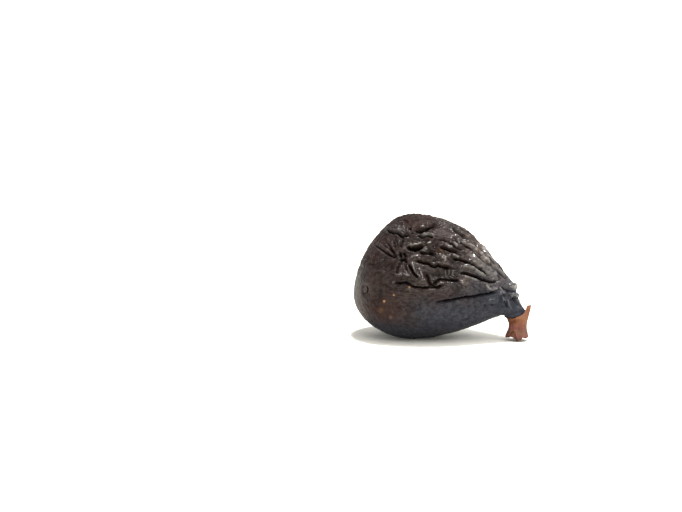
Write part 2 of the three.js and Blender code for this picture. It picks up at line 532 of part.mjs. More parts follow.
function solidFromPoints(points, triangles) {
  const geometry = new THREE.BufferGeometry();
  geometry.setAttribute(
    'position', new THREE.Float32BufferAttribute(points.flatMap((p) => p.toArray()), 3));
  geometry.setIndex(triangles.flat());
  geometry.computeVertexNormals();
  return geometry;
}

function fruitGeometry() {
  const ball = new THREE.IcosahedronGeometry(1, FRUIT_DETAIL);
  ball.deleteAttribute('normal');
  ball.deleteAttribute('uv');
  const merged = mergeVertices(ball, 1e-5);
  const places = merged.getAttribute('position');
  const direction = new THREE.Vector3();
  for (let i = 0; i < places.count; i += 1) {
    direction.fromBufferAttribute(places, i).normalize().add(FINE_SIDE).normalize();
    const point = skinPoint(direction);
    places.setXYZ(i, point.x, point.y, point.z);
  }
  merged.computeVertexNormals();
  return merged;
}

// Rings of points with a single point before and after them, joined into one closed skin
function ringedGeometry(start, rings, end) {
  const sides = rings[0].length;
  const points = [start, ...rings.flat(), end];
  const at = (ring, side) => 1 + ring * sides + (side % sides);
  const triangles = [];
  for (let side = 0; side < sides; side += 1) {
    triangles.push([0, at(0, side + 1), at(0, side)]);
    for (let ring = 1; ring < rings.length; ring += 1) {
      triangles.push([at(ring - 1, side), at(ring, side + 1), at(ring, side)]);
      triangles.push([at(ring - 1, side), at(ring - 1, side + 1), at(ring, side + 1)]);
    }
    triangles.push([at(rings.length - 1, side), at(rings.length - 1, side + 1), points.length - 1]);
  }
  return solidFromPoints(points, triangles);
}

// How strongly an angle belongs to a bract: 1 at its middle
function bractShare(around, bract) {
  const turn = Math.atan2(Math.sin(around - bract.around), Math.cos(around - bract.around));
  return Math.exp(-((turn / bract.spread) ** 2));
}

function sumOverBracts(around, key) {
  return BRACTS.reduce((sum, bract) => sum + bract[key] * bractShare(around, bract), 0);
}

// The value at a place of a list of [place, value] pairs, with straight lines between them
function valueAt(pairs, place) {
  if (place <= pairs[0][0]) return pairs[0][1];
  const next = pairs.findIndex(([at]) => at > place);
  if (next < 0) return pairs[pairs.length - 1][1];
  const [[x0, y0], [x1, y1]] = [pairs[next - 1], pairs[next]];
  return y0 + (y1 - y0) * (place - x0) / (x1 - x0);
}

// The same round a circle
function valueRound(pairs, angle) {
  const turn = 2 * Math.PI;
  const [first, last] = [pairs[0], pairs[pairs.length - 1]];
  return valueAt([[last[0] - turn, last[1]], ...pairs, [first[0] + turn, first[1]]], angle);
}

// A point of the collar at a share of its reach back from the neck's tip
function collarPoint(around, share, lift, lean, hook) {
  const horn = bractShare(around, HORN);
  const reach = COLLAR_REACH + HORN.reach * horn + sumOverBracts(around, 'reach');
  const { point, normal } = bodyPlace(BODY_LENGTH - share * reach, around);
  const thickness = COLLAR_THICKNESS + HORN.thickness * horn + sumOverBracts(around, 'thickness');
  const rise = STEM_GAP + lift * thickness + sumOverBracts(around, 'flare') * share ** 2;
  point.addScaledVector(normal, rise);
  point.x += horn * (HORN.lean * lean - HORN.hook * hook);
  point.z += horn * HORN.rise * lean;
  return point;
}

// A point of the stub: angle 0 points to +X and a quarter turn to -Y
function stubPoint(around, height, scale = 1) {
  const { count, start } = STUB_LOBES;
  const { perRadian, seed } = STUB_RIPPLE;
  const ripple = noise(perRadian * Math.cos(around), perRadian * Math.sin(around), 0, seed);
  const swell = 1 + STUB_LOBES.size * Math.cos(count * around + start) + STUB_RIPPLE.size * ripple;
  const radius = valueAt(STUB_PROFILE, height) * scale * swell;
  return new THREE.Vector3(STEM_X + radius * Math.cos(around), -radius * Math.sin(around), height);
}

function stemGeometry() {
  const angles = Array.from({ length: STEM_SIDES }, (_, side) => side / STEM_SIDES * 2 * Math.PI);
  const ring = (pointAt) => angles.map(pointAt);
  const wall = (around) => valueRound(WALL_EDGE, around);
  const core = (around) => valueRound(CORE_EDGE, around);

  const inner = INNER_SHARES.map(
    (share) => ring((around) => collarPoint(around, share, 0, share ** 6, 0)));
  const rim = ring((around) => collarPoint(around, RIM_SHARE, 0.5, 1, 1));
  const outer = OUTER_SHARES.map(
    (share) => ring((around) => collarPoint(around, share, 1, share ** 3, 0)));
  const top = ring((around) => stubPoint(around, STUB_TOP));
  const lastOuter = outer[outer.length - 1];
  const throat = THROAT_SHARES.map(
    (share) => lastOuter.map((point, side) => point.clone().lerp(top[side], share)));
  const skirt = SKIRT_SHARES.map((share) => ring(
    (around) => stubPoint(around, THREE.MathUtils.lerp(wall(around), SKIRT_TOP, share))));
  const lip = ring((around) => stubPoint(around, wall(around) + WALL_LIP.above, WALL_LIP.radius));
  const coreLips = CORE_LIPS.map(
    ({ radius, above }) => ring((around) => stubPoint(around, core(around) + above, radius)));
  const hollow = ring(
    (around) => stubPoint(around, HOLLOW.height + HOLLOW.follow * core(around), HOLLOW.radius));

  const start = bodyPlace(BODY_LENGTH, 0);
  return ringedGeometry(
    start.point.addScaledVector(start.normal, STEM_GAP),
    [...inner, rim, ...outer, ...throat, top, ...skirt, lip, ...coreLips, hollow],
    new THREE.Vector3(STEM_X, 0, HOLLOW.top));
}

// The direction at an angle from the eye, turned about it
function besideEye(angle, turn) {
  const level = new THREE.Vector3(0, 0, 1).cross(EYE).normalize();
  const upright = level.clone().cross(EYE);
  return EYE.clone().multiplyScalar(Math.cos(angle))
    .addScaledVector(level, Math.sin(angle) * Math.cos(turn))
    .addScaledVector(upright, Math.sin(angle) * Math.sin(turn));
}

// A low button of overlapping scales round the eye's small opening
function buttonGeometry() {
  const ring = (angle, lift) => Array.from({ length: BUTTON_SIDES }, (_, side) => {
    const turn = side / BUTTON_SIDES * 2 * Math.PI;
    return skinPoint(besideEye(angle, turn), lift(turn));
  });
  const rings = [];
  for (let step = 1; step <= BUTTON_RINGS; step += 1) {
    const share = step / BUTTON_RINGS;
    rings.push(ring(BUTTON_SPREAD * share, (turn) => {
      const scale = Math.abs(Math.sin(0.5 * BUTTON_SCALES * turn + BUTTON_TWIST * share));
      const dome = THREE.MathUtils.lerp(BUTTON_EDGE, 1, Math.sin(0.85 * Math.PI * share));
      return BUTTON_GAP + BUTTON_THICKNESS * dome * THREE.MathUtils.lerp(BUTTON_VALLEY, 1, scale);
    }));
  }
  for (let step = BUTTON_RINGS; step >= 1; step -= 2) {
    rings.push(ring(0.96 * BUTTON_SPREAD * step / BUTTON_RINGS, () => BUTTON_GAP));
  }
  const top = skinPoint(EYE, BUTTON_GAP + BUTTON_MIDDLE * BUTTON_THICKNESS);
  return ringedGeometry(top, rings, skinPoint(EYE, BUTTON_GAP));
}

function matt(color, roughness) {
  return new THREE.MeshStandardMaterial({ color, roughness, metalness: 0 });
}

function addPart(group, name, geometry, material) {
  const mesh = new THREE.Mesh(geometry, material);
  mesh.name = name;
  mesh.position.copy(BOX_MIDDLE).negate();
  group.add(mesh);
}

const fig = new THREE.Group();
addPart(fig, 'fruit', fruitGeometry(), matt(0x2e2426, 0.42));
addPart(fig, 'stem', stemGeometry(), matt(0xc07a4c, 0.75));
addPart(fig, 'ostiole', buttonGeometry(), matt(0x4a3328, 0.7));

export default fig;
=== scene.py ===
"""A dried black fig lying on a pale surface. Forms are worked out in millimetres, from its body's middle."""

import math

import bpy
import numpy as np
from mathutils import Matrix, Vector


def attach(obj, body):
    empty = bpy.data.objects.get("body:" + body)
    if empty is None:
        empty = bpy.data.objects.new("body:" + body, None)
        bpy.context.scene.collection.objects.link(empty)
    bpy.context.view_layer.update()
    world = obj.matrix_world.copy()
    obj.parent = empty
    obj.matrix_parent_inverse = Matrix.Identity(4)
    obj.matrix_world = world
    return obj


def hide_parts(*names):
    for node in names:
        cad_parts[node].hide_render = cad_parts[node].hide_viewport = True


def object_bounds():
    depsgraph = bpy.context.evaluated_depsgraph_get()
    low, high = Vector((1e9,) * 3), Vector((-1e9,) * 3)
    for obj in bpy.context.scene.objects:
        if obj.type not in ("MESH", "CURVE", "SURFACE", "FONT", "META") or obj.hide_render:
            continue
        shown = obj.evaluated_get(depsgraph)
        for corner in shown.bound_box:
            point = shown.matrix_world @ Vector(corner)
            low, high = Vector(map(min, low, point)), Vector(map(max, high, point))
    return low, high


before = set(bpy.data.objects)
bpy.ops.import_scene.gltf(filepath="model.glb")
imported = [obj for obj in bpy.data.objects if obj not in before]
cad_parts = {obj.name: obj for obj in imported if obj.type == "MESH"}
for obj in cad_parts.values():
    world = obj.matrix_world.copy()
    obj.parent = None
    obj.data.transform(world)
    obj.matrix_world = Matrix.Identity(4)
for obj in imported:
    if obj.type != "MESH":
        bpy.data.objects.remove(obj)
CAD_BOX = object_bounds()

MM = 0.001

# Where the middle of the fig's whole box is, measured from the middle of its round body
BOX_MIDDLE = np.array([7.515, -0.1, 0.0])

# The body's upper and lower outline, as [x, z] Bezier curves from the eye end to the neck's tip
UPPER_RAIL = [
    [(-13.6, 9.4), (-13.6, 17.4), (-7.0, 29.0), (0.3, 29.0)],
    [(0.3, 29.0), (5.0, 29.0), (10.1, 27.6), (13.1, 25.4)],
    [(13.1, 25.4), (15.0, 24.0), (20.0, 17.6), (23.4, 14.4)],
    [(23.4, 14.4), (24.8, 13.1), (25.3, 10.6), (25.8, 9.2)],
    [(25.8, 9.2), (26.5, 7.6), (29.4, 5.8), (25.3, 5.2)],
]
LOWER_RAIL = [
    [(-13.6, 9.4), (-13.6, 4.8), (-7.6, -0.4), (-0.3, -0.4)],
    [(-0.3, -0.4), (4.0, -0.4), (7.6, 0.8), (11.4, 1.75)],
    [(11.4, 1.75), (14.4, 2.7), (18.6, 4.75), (21.4, 5.65)],
    [(21.4, 5.65), (21.9, 5.8), (22.2, 5.85), (22.4, 5.75)],
    [(22.4, 5.75), (23.2, 5.3), (23.8, 5.1), (25.3, 5.2)],
]
RAIL_STEPS = 80
EYE_END_FULLNESS = 0.12

FRUIT_CUTS = 99
FINE_SIDE = np.array([0.04, -0.30, 0.16])
WIDEST_RADIUS = 12.0
LEAST_RELIEF = 0.3

# The photograph's view of the fig
VIEW_AZIMUTH = math.radians(12)
VIEW_ELEVATION = math.radians(9)
VIEW_DISTANCE = 447.0
PHOTO_WIDTH = 682
PHOTO_HEIGHT = 512
FIG_PIXEL = (412.0, 276.9)
FIG_HEIGHT = 14.0
LENS = 100.0
SENSOR = 36.0

# The eye: its place as the angle from the end of the body and the angle around it
EYE_ANGLE = math.radians(40.5)
EYE_AROUND = math.radians(92)
EYE_PIT_DEPTH = 0.4
EYE_PIT_SPREAD = 0.07

# Relief heights
LUMP_HEIGHT = 0.75
FOLD_HEIGHT = 0.95
WRINKLE_HEIGHT = 0.42
NET_HEIGHT = 0.26
FINE_NET_HEIGHT = 0.15
FINE_LINE_HEIGHT = 0.22
FOLDS_PER_RADIAN = 4.6
PATH_DROP = 0.38
LIP_SHARE = 0.28
RAY_HEIGHT = 0.4
KNOB_HEIGHT = 0.28
KNOBBLY_PLACE, KNOBBLY_SIZE = (4.0, 22.0), (8.5, 5.0)
DULL_PLACE, DULL_SIZE = (7.6, 24.2), (2.8, 2.2)
RAYS_PER_RADIAN = 3.4
# A painted highlight along the narrow crests: its half width, and the crest width and height at which it is at full
# strength.
PAINTED_GLINT_WIDTH = 0.15
PAINTED_GLINT_CREST = 0.35
VALLEY_WIDTH = 0.13
NEAR_CALM = 0.75

# Creases on the near side: depth, half width, and points right of the body's middle and above the surface
CREASES = [
    # The sunken crease under the middle folds
    (0.9, 0.27, [
        (-4.2, 12.8), (-2.8, 12.8), (-1.2, 12.9), (-0.2, 12.4), (0.9, 11.9),
        (2.1, 11.8), (4.2, 11.8), (5.9, 11.9), (7.6, 12.6),
    ]),
    (0.8, 0.35, [(3.2, 14.9), (3.8, 14.1), (4.0, 13.1), (4.5, 12.4), (5.4, 12.2)]),
    (0.9, 0.27, [(5.0, 12.3), (5.8, 13.2), (6.6, 13.7), (8.3, 13.5), (9.7, 13.4), (11.2, 13.5)]),
    # The long crease from the belly to the neck, with marks beside it
    (0.8, 0.3, [
        (5.0, 8.3), (6.8, 8.6), (8.3, 8.8), (9.7, 9.1), (11.1, 9.4),
        (14.6, 9.8), (16.5, 10.3), (17.9, 10.5), (19.4, 10.9), (20.3, 11.4),
    ]),
    (0.4, 0.35, [(16.6, 7.7), (17.7, 7.8), (18.6, 7.8), (19.4, 7.6), (19.9, 8.0)]),
    (0.3, 0.35, [(10.7, 6.1), (11.6, 6.6), (12.5, 7.5)]),
    (0.35, 0.4, [(10.9, 3.3), (12.3, 4.0), (13.7, 4.6)]),
    # Creases that run from the pucker to the neck
    (1, 0.34, [
        (0.8, 18.1), (2.8, 17.6), (4.0, 17.3), (4.7, 16.8),
        (5.5, 16.6), (6.1, 17.0), (6.8, 16.7), (9.2, 16.4),
    ]),
    (0.9, 0.3, [(-0.9, 17.4), (-0.2, 16.4), (0.4, 15.5), (0.7, 14.8), (1.6, 13.8)]),
    (1, 0.32, [
        (9.4, 18.9), (10.1, 18.4), (11.3, 18.3), (12.7, 17.8),
        (14.2, 17.0), (15.6, 16.2), (16.8, 15.4), (17.7, 14.8),
    ]),
    (0.9, 0.28, [
        (11.0, 15.1), (12.3, 15.2), (14.4, 14.5), (16.8, 13.6),
        (17.9, 13.2), (18.9, 13.2), (20.1, 13.5),
    ]),
    (0.8, 0.4, [(6.6, 21.4), (7.8, 20.8), (8.7, 20.6), (10.6, 19.8)]),
    (0.7, 0.3, [(1.9, 20.0), (2.8, 19.7), (4.5, 19.7), (5.2, 19.3)]),
    (1, 0.4, [(-1.1, 21.4), (-0.2, 21.0), (0.9, 20.9), (2.1, 21.1), (3.1, 21.5)]),
    # Dark pockets under the folds
    (0.6, 0.5, [(0.0, 20.9), (0.9, 20.5), (1.9, 20.6)]),
    (0.5, 0.45, [(3.9, 20.3), (5.6, 19.5)]),
    (0.6, 0.4, [(-1.6, 24.1), (-0.7, 23.6)]),
    # Creases down the shoulder towards the neck
    (1.0, 0.27, [
        (11.1, 22.6), (12.7, 21.4), (13.8, 20.9), (14.9, 19.7), (16.0, 18.4),
        (17.2, 17.4), (18.3, 16.7), (20.2, 15.3), (22.0, 14.0), (22.9, 13.2),
    ]),
    (0.9, 0.26, [(9.3, 26.5), (10.1, 25.5), (11.1, 24.7), (12.0, 23.7), (13.0, 23.0)]),
    (0.8, 0.22, [
        (13.7, 23.7), (14.8, 22.6), (15.8, 21.6), (16.6, 20.7), (17.4, 19.7),
        (18.1, 18.8), (19.1, 17.7), (20.2, 16.7), (21.4, 15.5),
    ]),
    (0.6, 0.3, [(6.1, 22.9), (7.3, 22.9), (8.7, 22.6), (9.7, 21.6), (10.9, 20.9), (12.5, 20.7)]),
    (0.7, 0.3, [(10.4, 23.0), (11.1, 22.0)]),
    # Creases over the top
    (0.8, 0.3, [
        (-5.8, 25.2), (-5.0, 24.6), (-4.0, 24.3), (-3.1, 24.2),
        (-2.5, 23.7), (-1.9, 23.6), (-1.2, 23.7),
    ]),
    (0.8, 0.35, [(-0.4, 25.6), (-0.2, 24.9)]),
    (0.9, 0.3, [(-0.1, 24.4), (0.9, 24.3), (2.6, 24.5)]),
    (0.9, 0.3, [(0.7, 24.9), (2.1, 24.9), (3.1, 25.0), (3.8, 25.5), (5.0, 26.1), (5.8, 26.5)]),
    (0.7, 0.3, [(1.2, 23.9), (2.5, 23.4), (3.5, 23.8), (4.5, 23.7), (5.0, 23.2)]),
    (0.35, 0.35, [(-1.9, 27.5), (-1.1, 26.8), (-1.5, 25.4)]),
    (0.25, 0.35, [(0.8, 28.6), (1.3, 27.3)]),
    (0.5, 0.35, [(6.1, 27.4), (6.8, 26.8), (7.6, 26.3)]),
    # Rays of the pucker, clockwise from the left
    (0.7, 0.35, [(-8.9, 21.8), (-8.3, 21.5), (-6.6, 20.3), (-5.2, 19.4), (-3.8, 18.8)]),
    (0.6, 0.3, [(-6.0, 22.4), (-5.1, 21.4), (-4.5, 20.2), (-3.8, 19.1)]),
    (0.6, 0.3, [(-4.1, 22.6), (-3.9, 21.1)]),
    (0.6, 0.3, [(-1.8, 23.4), (-2.2, 22.3), (-2.6, 21.3)]),
    (0.7, 0.3, [(-2.8, 20.4), (-2.5, 18.9)]),
    (0.5, 0.3, [(-1.9, 20.2), (-1.3, 18.9)]),
    (0.7, 0.35, [(-2.6, 18.2), (-1.7, 18.4), (-1.1, 17.7)]),
    (0.5, 0.3, [(-1.4, 17.5), (-1.4, 16.7), (-1.1, 15.7)]),
    (0.4, 0.3, [(-2.4, 18.3), (-2.9, 17.1), (-3.3, 15.7), (-3.4, 14.5)]),
    # Faint marks on the smooth left side and the belly
    (0.5, 0.35, [(-7.7, 17.8), (-9.0, 17.3), (-9.7, 17.1)]),
    (0.25, 0.5, [(-12.0, 16.9), (-11.8, 16.5), (-11.1, 16.3)]),
    (0.35, 0.3, [(-7.3, 18.6), (-5.7, 18.7)]),
    (0.4, 0.3, [(-8.7, 15.0), (-8.0, 15.4), (-7.3, 15.6)]),
    (0.4, 0.3, [(-6.8, 16.0), (-5.9, 15.8)]),
    (0.3, 0.4, [(-6.8, 12.8), (-5.2, 11.9), (-4.0, 11.5)]),
    (0.3, 0.35, [(2.8, 9.1), (3.8, 9.9), (4.5, 10.3), (5.2, 11.1)]),
    (0.2, 0.35, [(0.2, 8.2), (0.7, 9.6)]),
    # Folds round the neck
    (0.4, 0.3, [(22.2, 10.9), (24.8, 11.2), (26.0, 11.1)]),
    (0.45, 0.35, [(22.9, 9.0), (25.0, 9.6), (26.2, 9.7)]),
    (0.6, 0.5, [(20.8, 12.2), (21.9, 11.6), (23.1, 11.1)]),
    (0.3, 0.3, [(20.6, 10.2), (20.7, 8.6), (21.3, 6.8)]),
    (0.45, 0.3, [(21.5, 10.8), (21.7, 8.9), (22.6, 6.9)]),
    (0.5, 0.35, [(22.6, 10.4), (23.3, 9.7)]),
    (0.6, 0.25, [(23.6, 9.8), (23.9, 9.2), (24.1, 8.6)]),
    (0.3, 0.22, [(22.1, 9.8), (22.2, 8.9), (22.3, 7.7)]),
    (0.3, 0.3, [(23.3, 8.2), (23.6, 7.2)]),
    (0.35, 0.3, [(24.2, 6.4), (24.7, 6.0), (25.4, 6.1)]),
    (0.25, 0.3, [(20.2, 7.3), (21.2, 6.9)]),
    (0.35, 0.3, [(19.0, 6.6), (20.0, 7.6), (20.6, 8.6)]),
]
# Raised folds on the near side, in the same way: height, half width and points
CRESTS = [
    # Knobs at the neck's edge
    (0.8, 0.55, [(22.4, 12.6), (24.0, 12.3), (25.0, 11.9), (26.0, 11.7)]),
    (0.55, 0.45, [(22.9, 10.1), (24.2, 10.1), (25.3, 9.9), (26.2, 9.8)]),
    (0.35, 0.3, [(20.3, 12.1), (21.0, 11.2), (21.7, 10.4)]),
    (0.3, 0.22, [(20.5, 11.2), (20.7, 10.3)]),
    (0.3, 0.45, [(21.2, 10.1), (21.5, 9.4), (21.9, 8.6)]),
    (0.3, 0.22, [(22.3, 9.5), (22.5, 8.4), (22.7, 7.3)]),
    (0.5, 0.25, [(23.8, 10.7), (23.5, 10.1)]),
    (0.35, 0.3, [(24.3, 9.4), (24.8, 8.9), (25.3, 8.2)]),
    (0.3, 0.25, [(24.5, 7.5), (25.0, 7.1), (25.5, 6.8)]),
    (0.25, 0.3, [(23.1, 7.9), (23.4, 7.1)]),
    # Glossy edges and lips of the folds
    (0.55, 0.4, [(0.1, 18.0), (0.5, 16.7), (0.9, 15.2)]),
    (0.35, 0.35, [(2.1, 15.7), (2.5, 14.8), (2.7, 13.7)]),
    (0.4, 0.35, [(-0.8, 21.9), (0.2, 21.5), (1.2, 21.7), (2.1, 22.0), (2.2, 22.6)]),
    (0.6, 0.4, [
        (11.4, 16.5), (12.3, 16.9), (13.2, 16.9), (14.2, 16.4),
        (15.1, 15.6), (16.0, 15.1), (17.5, 14.3),
    ]),
    (0.35, 0.4, [(11.6, 14.5), (13.2, 14.3), (14.6, 13.8), (15.5, 13.5)]),
    (0.3, 0.25, [(2.5, 23.9), (3.8, 24.1), (4.6, 24.1), (5.2, 23.7), (5.2, 23.2)]),
    (0.35, 0.35, [(2.2, 20.6), (3.3, 20.2)]),
    (0.4, 0.4, [(2.4, 21.1), (3.8, 20.7)]),
    (0.4, 0.4, [(3.5, 22.0), (4.7, 22.3)]),
    (0.45, 0.35, [(7.6, 22.0), (8.5, 21.4), (9.4, 20.9)]),
    (0.35, 0.3, [(9.7, 22.3), (10.7, 21.3)]),
    (0.3, 0.3, [(10.6, 23.2), (11.4, 22.2)]),
    (0.4, 0.4, [(11.6, 22.9), (12.6, 22.1)]),
    (0.4, 0.35, [(9.0, 22.8), (9.2, 23.6), (9.9, 24.0), (10.9, 24.0)]),
    (0.4, 0.6, [(13.0, 22.3), (14.4, 21.1), (15.3, 20.2)]),
    (0.4, 0.6, [(15.8, 20.2), (17.0, 18.7), (17.9, 17.7)]),
    (0.45, 0.3, [(16.1, 21.7), (17.5, 19.8), (18.6, 18.4), (19.7, 17.2), (20.9, 15.9)]),
    (0.35, 0.25, [(18.6, 17.3), (20.1, 16.1), (21.2, 15.1), (21.9, 14.5)]),
    (0.4, 0.3, [(16.8, 19.0), (17.3, 18.5)]),
    (0.4, 0.3, [(17.6, 18.1), (17.9, 17.5)]),
    (0.45, 1.1, [(13.2, 20.0), (15.6, 17.8), (18.4, 15.5), (20.3, 14.1)]),
    (0.35, 0.35, [(9.3, 19.7), (10.1, 19.3), (11.0, 18.7)]),
    (0.3, 0.3, [(7.0, 18.5), (7.3, 19.3), (7.9, 19.0), (7.6, 17.7)]),
    (0.2, 0.35, [(7.8, 16.1), (7.8, 15.0), (8.1, 14.1)]),
    (0.2, 0.3, [(8.7, 16.1), (8.6, 14.5)]),
    (0.2, 0.4, [(9.7, 16.1), (9.2, 14.1)]),
    (0.4, 0.3, [(11.1, 13.8), (11.9, 12.8)]),
    (0.55, 0.5, [(5.7, 12.7), (6.6, 13.0), (7.6, 13.0)]),
    (0.3, 0.35, [(-3.8, 14.6), (-3.1, 14.9), (-2.1, 14.6)]),
    (0.3, 0.35, [(-4.5, 12.6), (-3.8, 13.4)]),
    (0.3, 0.45, [(-0.4, 18.7), (0.5, 19.2), (1.9, 19.3)]),
    (0.5, 0.3, [(-2.8, 25.2), (-2.6, 24.6)]),
    (0.3, 0.35, [(2.6, 26.5), (2.6, 25.6)]),
    (0.3, 0.35, [(3.7, 26.5), (3.7, 25.6)]),
    (0.25, 0.3, [(10.1, 8.7), (10.6, 9.1), (11.0, 8.6)]),
    (0.25, 0.45, [(17.7, 9.1), (18.6, 9.3), (19.6, 9.7)]),
    (0.35, 0.45, [(17.0, 13.0), (17.5, 12.2), (18.2, 11.5), (20.3, 11.7)]),
]
# Broad folds and hollows of the near side, added up: height, half width and points
SWELLINGS = [
    # The sunken middle and the fold over its lower edge
    (-0.6, 1.3, [(1.4, 15.6), (5.0, 14.2), (10.6, 14.9)]),
    (0.35, 0.9, [(-3.3, 13.9), (0.9, 13.6), (4.2, 12.9)]),
    (0.3, 1.2, [(6.6, 11.1), (12.3, 11.8), (18.4, 11.9)]),
    # The hollow of the pucker's right side and the folds above it
    (-0.4, 1.2, [(-2.0, 21.9), (1.2, 20.4), (5.9, 19.8)]),
    (0.35, 0.9, [(1.9, 18.9), (5.9, 18.4), (9.4, 17.5)]),
    (0.3, 1.0, [(-1.0, 23.4), (2.8, 23.1), (6.6, 22.3)]),
    # Ridges of the shoulder
    (0.4, 0.9, [(13.4, 20.0), (16.5, 16.8), (20.1, 14.3)]),
    (0.4, 0.7, [(13.7, 22.7), (17.0, 19.2), (19.8, 16.6), (22.2, 14.3)]),
    (0.35, 0.8, [(11.6, 17.0), (14.6, 15.8), (17.5, 14.3)]),
]
# Orange specks and patches on the near side: place, size and strength
SPECKS = [
    (-4.0, 9.6, 0.18, 0.7), (-6.2, 8.2, 0.2, 0.8), (-0.4, 11.5, 0.18, 0.7), (-4.7, 4.6, 0.3, 0.12),
    (6.8, 19.9, 0.7, 0.05), (12.0, 13.1, 0.7, 0.05), (24.4, 12.0, 0.5, 0.2), (25.0, 10.3, 0.5, 0.1),
    (-6.9, 6.2, 0.6, 0.08),
]
PUCKER = (-2.4, 18.8)
PUCKER_DEPTH = 0.7
PUCKER_SPREAD = 3.2

# The stem: a stub that cups the neck's tip, with bracts on its collar, and a torn lower end
STEM_SIDES = 160
STEM_STEPS = 5
STEM_GAP = 0.06
COLLAR_THICKNESS = 0.34
COLLAR_REACH = 2.2
BRACTS = [
    # angle around the neck, spread, reach, flare and extra thickness
    (0.0, 0.6, 0.7, 0.1, 0.0),
    (3.1, 0.5, 2.6, 0.0, -0.2),
    (4.6, 0.5, 0.7, 0.3, 0.1),
]
# The bract that stands off as a horn, how far its tip leans out and up, and how far that hooks back in
HORN_AROUND, HORN_SPREAD, HORN_REACH, HORN_THICKNESS = 0.05, 0.27, 0.68, 0.48
HORN_LEAN, HORN_RISE, HORN_HOOK = 1.6, 0.0, 0.85
STEM_X = 25.42
# The stub's radius at heights above the surface
STUB_PROFILE = [(0.0, 2.40), (0.8, 2.66), (1.4, 2.72), (2.2, 2.34), (3.0, 2.17), (4.0, 2.16)]
STUB_LOBES, STUB_RIPPLE = 0.03, 0.08
# The torn lower end: angles round the stub with the heights of its wall and, where that is torn, of its core
WALL_EDGE = [
    (0.0, 0.9), (0.4, 0.75), (0.6, 0.85), (0.8, 1.15), (0.95, 0.7), (1.1, 0.4), (1.25, 0.4), (1.35, 0.9), (1.5, 1.9),
    (1.65, 2.5), (1.8, 2.75), (2.0, 2.5), (2.2, 1.7), (2.4, 1.1), (2.6, 0.85), (2.8, 0.75), (3.1, 0.95), (3.4, 1.2),
    (4.3, 0.9),
    (4.9, 0.7), (5.6, 0.8),
]
CORE_EDGE = [
    (0.2, 0.9), (0.8, 1.1), (1.0, 0.4), (1.2, 0.15), (1.4, 0.4), (1.6, 0.8), (1.8, 1.15), (2.1, 1.2),
    (2.4, 1.05), (2.6, 0.85), (2.8, 0.75), (3.1, 0.9), (3.4, 1.2), (4.3, 1.0), (4.9, 0.8), (5.6, 0.9),
]
HOLLOW_HEIGHT = 2.0
NOTCH_AROUND, NOTCH_SPREAD = 1.75, 0.4
FOOT_LEAN = 0.2

# The scaly button in the eye's pit
BUTTON_SIDES = 96
BUTTON_RINGS = 24
BUTTON_SPREAD = 0.042
BUTTON_GAP = 0.15
BUTTON_THICKNESS = 0.34
BUTTON_SCALES = 7


def smooth(low, high, value):
    t = np.clip((value - low) / (high - low), 0, 1)
    return t * t * (3 - 2 * t)


def lattice_hash(i, j, k, seed):
    with np.errstate(over="ignore"):
        total = i.astype(np.int64).astype(np.uint32) * np.uint32(374761393)
        total = total + j.astype(np.int64).astype(np.uint32) * np.uint32(668265263)
        total = total + k.astype(np.int64).astype(np.uint32) * np.uint32(1274126177)
        total = total + np.uint32((seed * 974634777) & 0xFFFFFFFF)
        total = (total ^ (total >> np.uint32(13))) * np.uint32(1103515245)
        total = (total ^ (total >> np.uint32(15))) * np.uint32(2246822519)
    return total ^ (total >> np.uint32(16))


def noise(points, seed):
    """Smooth gradient noise at each row of points, with one cell to a unit, from about -0.8 to 0.8."""
    cell = np.floor(points)
    inside = points - cell
    fade = inside**3 * (inside * (inside * 6 - 15) + 10)
    total = np.zeros(len(points))
    for corner in range(8):
        step = np.array([corner & 1, (corner >> 1) & 1, corner >> 2])
        picked = lattice_hash(*(cell + step).T, seed)
        slope = np.zeros(len(points))
        weight = np.ones(len(points))
        for axis in range(3):
            gradient = ((picked >> np.uint32(10 * axis)) & np.uint32(1023)) / 511.5 - 1
            slope += gradient * (inside[:, axis] - step[axis])
            weight *= fade[:, axis] if step[axis] else 1 - fade[:, axis]
        total += slope * weight
    return total


def spot(u, v, middle, size):
    """1 at a place in the side view, fading to 0 at about twice its size."""
    return np.exp(-(((u - middle[0]) / size[0]) ** 2 + ((v - middle[1]) / size[1]) ** 2))


def ridges(value):
    """Rounded ridges between sharp valleys, 0 in a valley and 1 on a ridge."""
    return np.minimum(np.abs(value) * 2.6, 1)


def rail_points(curves):
    points = []
    for index, corners in enumerate(curves):
        a, b, c, d = (np.array(corner) for corner in corners)
        t = np.linspace(0, 1, RAIL_STEPS + 1)[:, None]
        curve = (1 - t) ** 3 * a + 3 * (1 - t) ** 2 * t * b + 3 * (1 - t) * t**2 * c + t**3 * d
        points.append(curve if index == 0 else curve[1:])
    return np.vstack(points)


UPPER, LOWER = rail_points(UPPER_RAIL), rail_points(LOWER_RAIL)
PAIR_STEPS = [np.linalg.norm(np.diff(rail, axis=0), axis=1) for rail in (UPPER, LOWER)]
LENGTHS = np.concatenate([[0], np.cumsum(sum(PAIR_STEPS) / 2)])
BODY_LENGTH = LENGTHS[-1]


def section(length):
    """The round section at a length along the body: its middle and the way across it, from below to above."""
    upper = np.stack([np.interp(length, LENGTHS, UPPER[:, axis]) for axis in (0, 1)], 1)
    lower = np.stack([np.interp(length, LENGTHS, LOWER[:, axis]) for axis in (0, 1)], 1)
    return (upper + lower) / 2, upper - lower


def body_point(length, around):
    middle, across = section(length)
    margin = 0.02
    way = section(np.clip(length, margin, BODY_LENGTH - margin))[1]
    out = way / np.linalg.norm(way, axis=1)[:, None]
    radius = np.linalg.norm(across, axis=1) / 2
    breadth = 1 + EYE_END_FULLNESS * smooth(22, 2, length)
    rise = (radius * np.cos(around))[:, None] * out
    sideways = -radius * breadth * np.sin(around)
    point = np.stack([middle[:, 0] + rise[:, 0], sideways, middle[:, 1] + rise[:, 1]], 1)
    return point, middle, radius, breadth, out


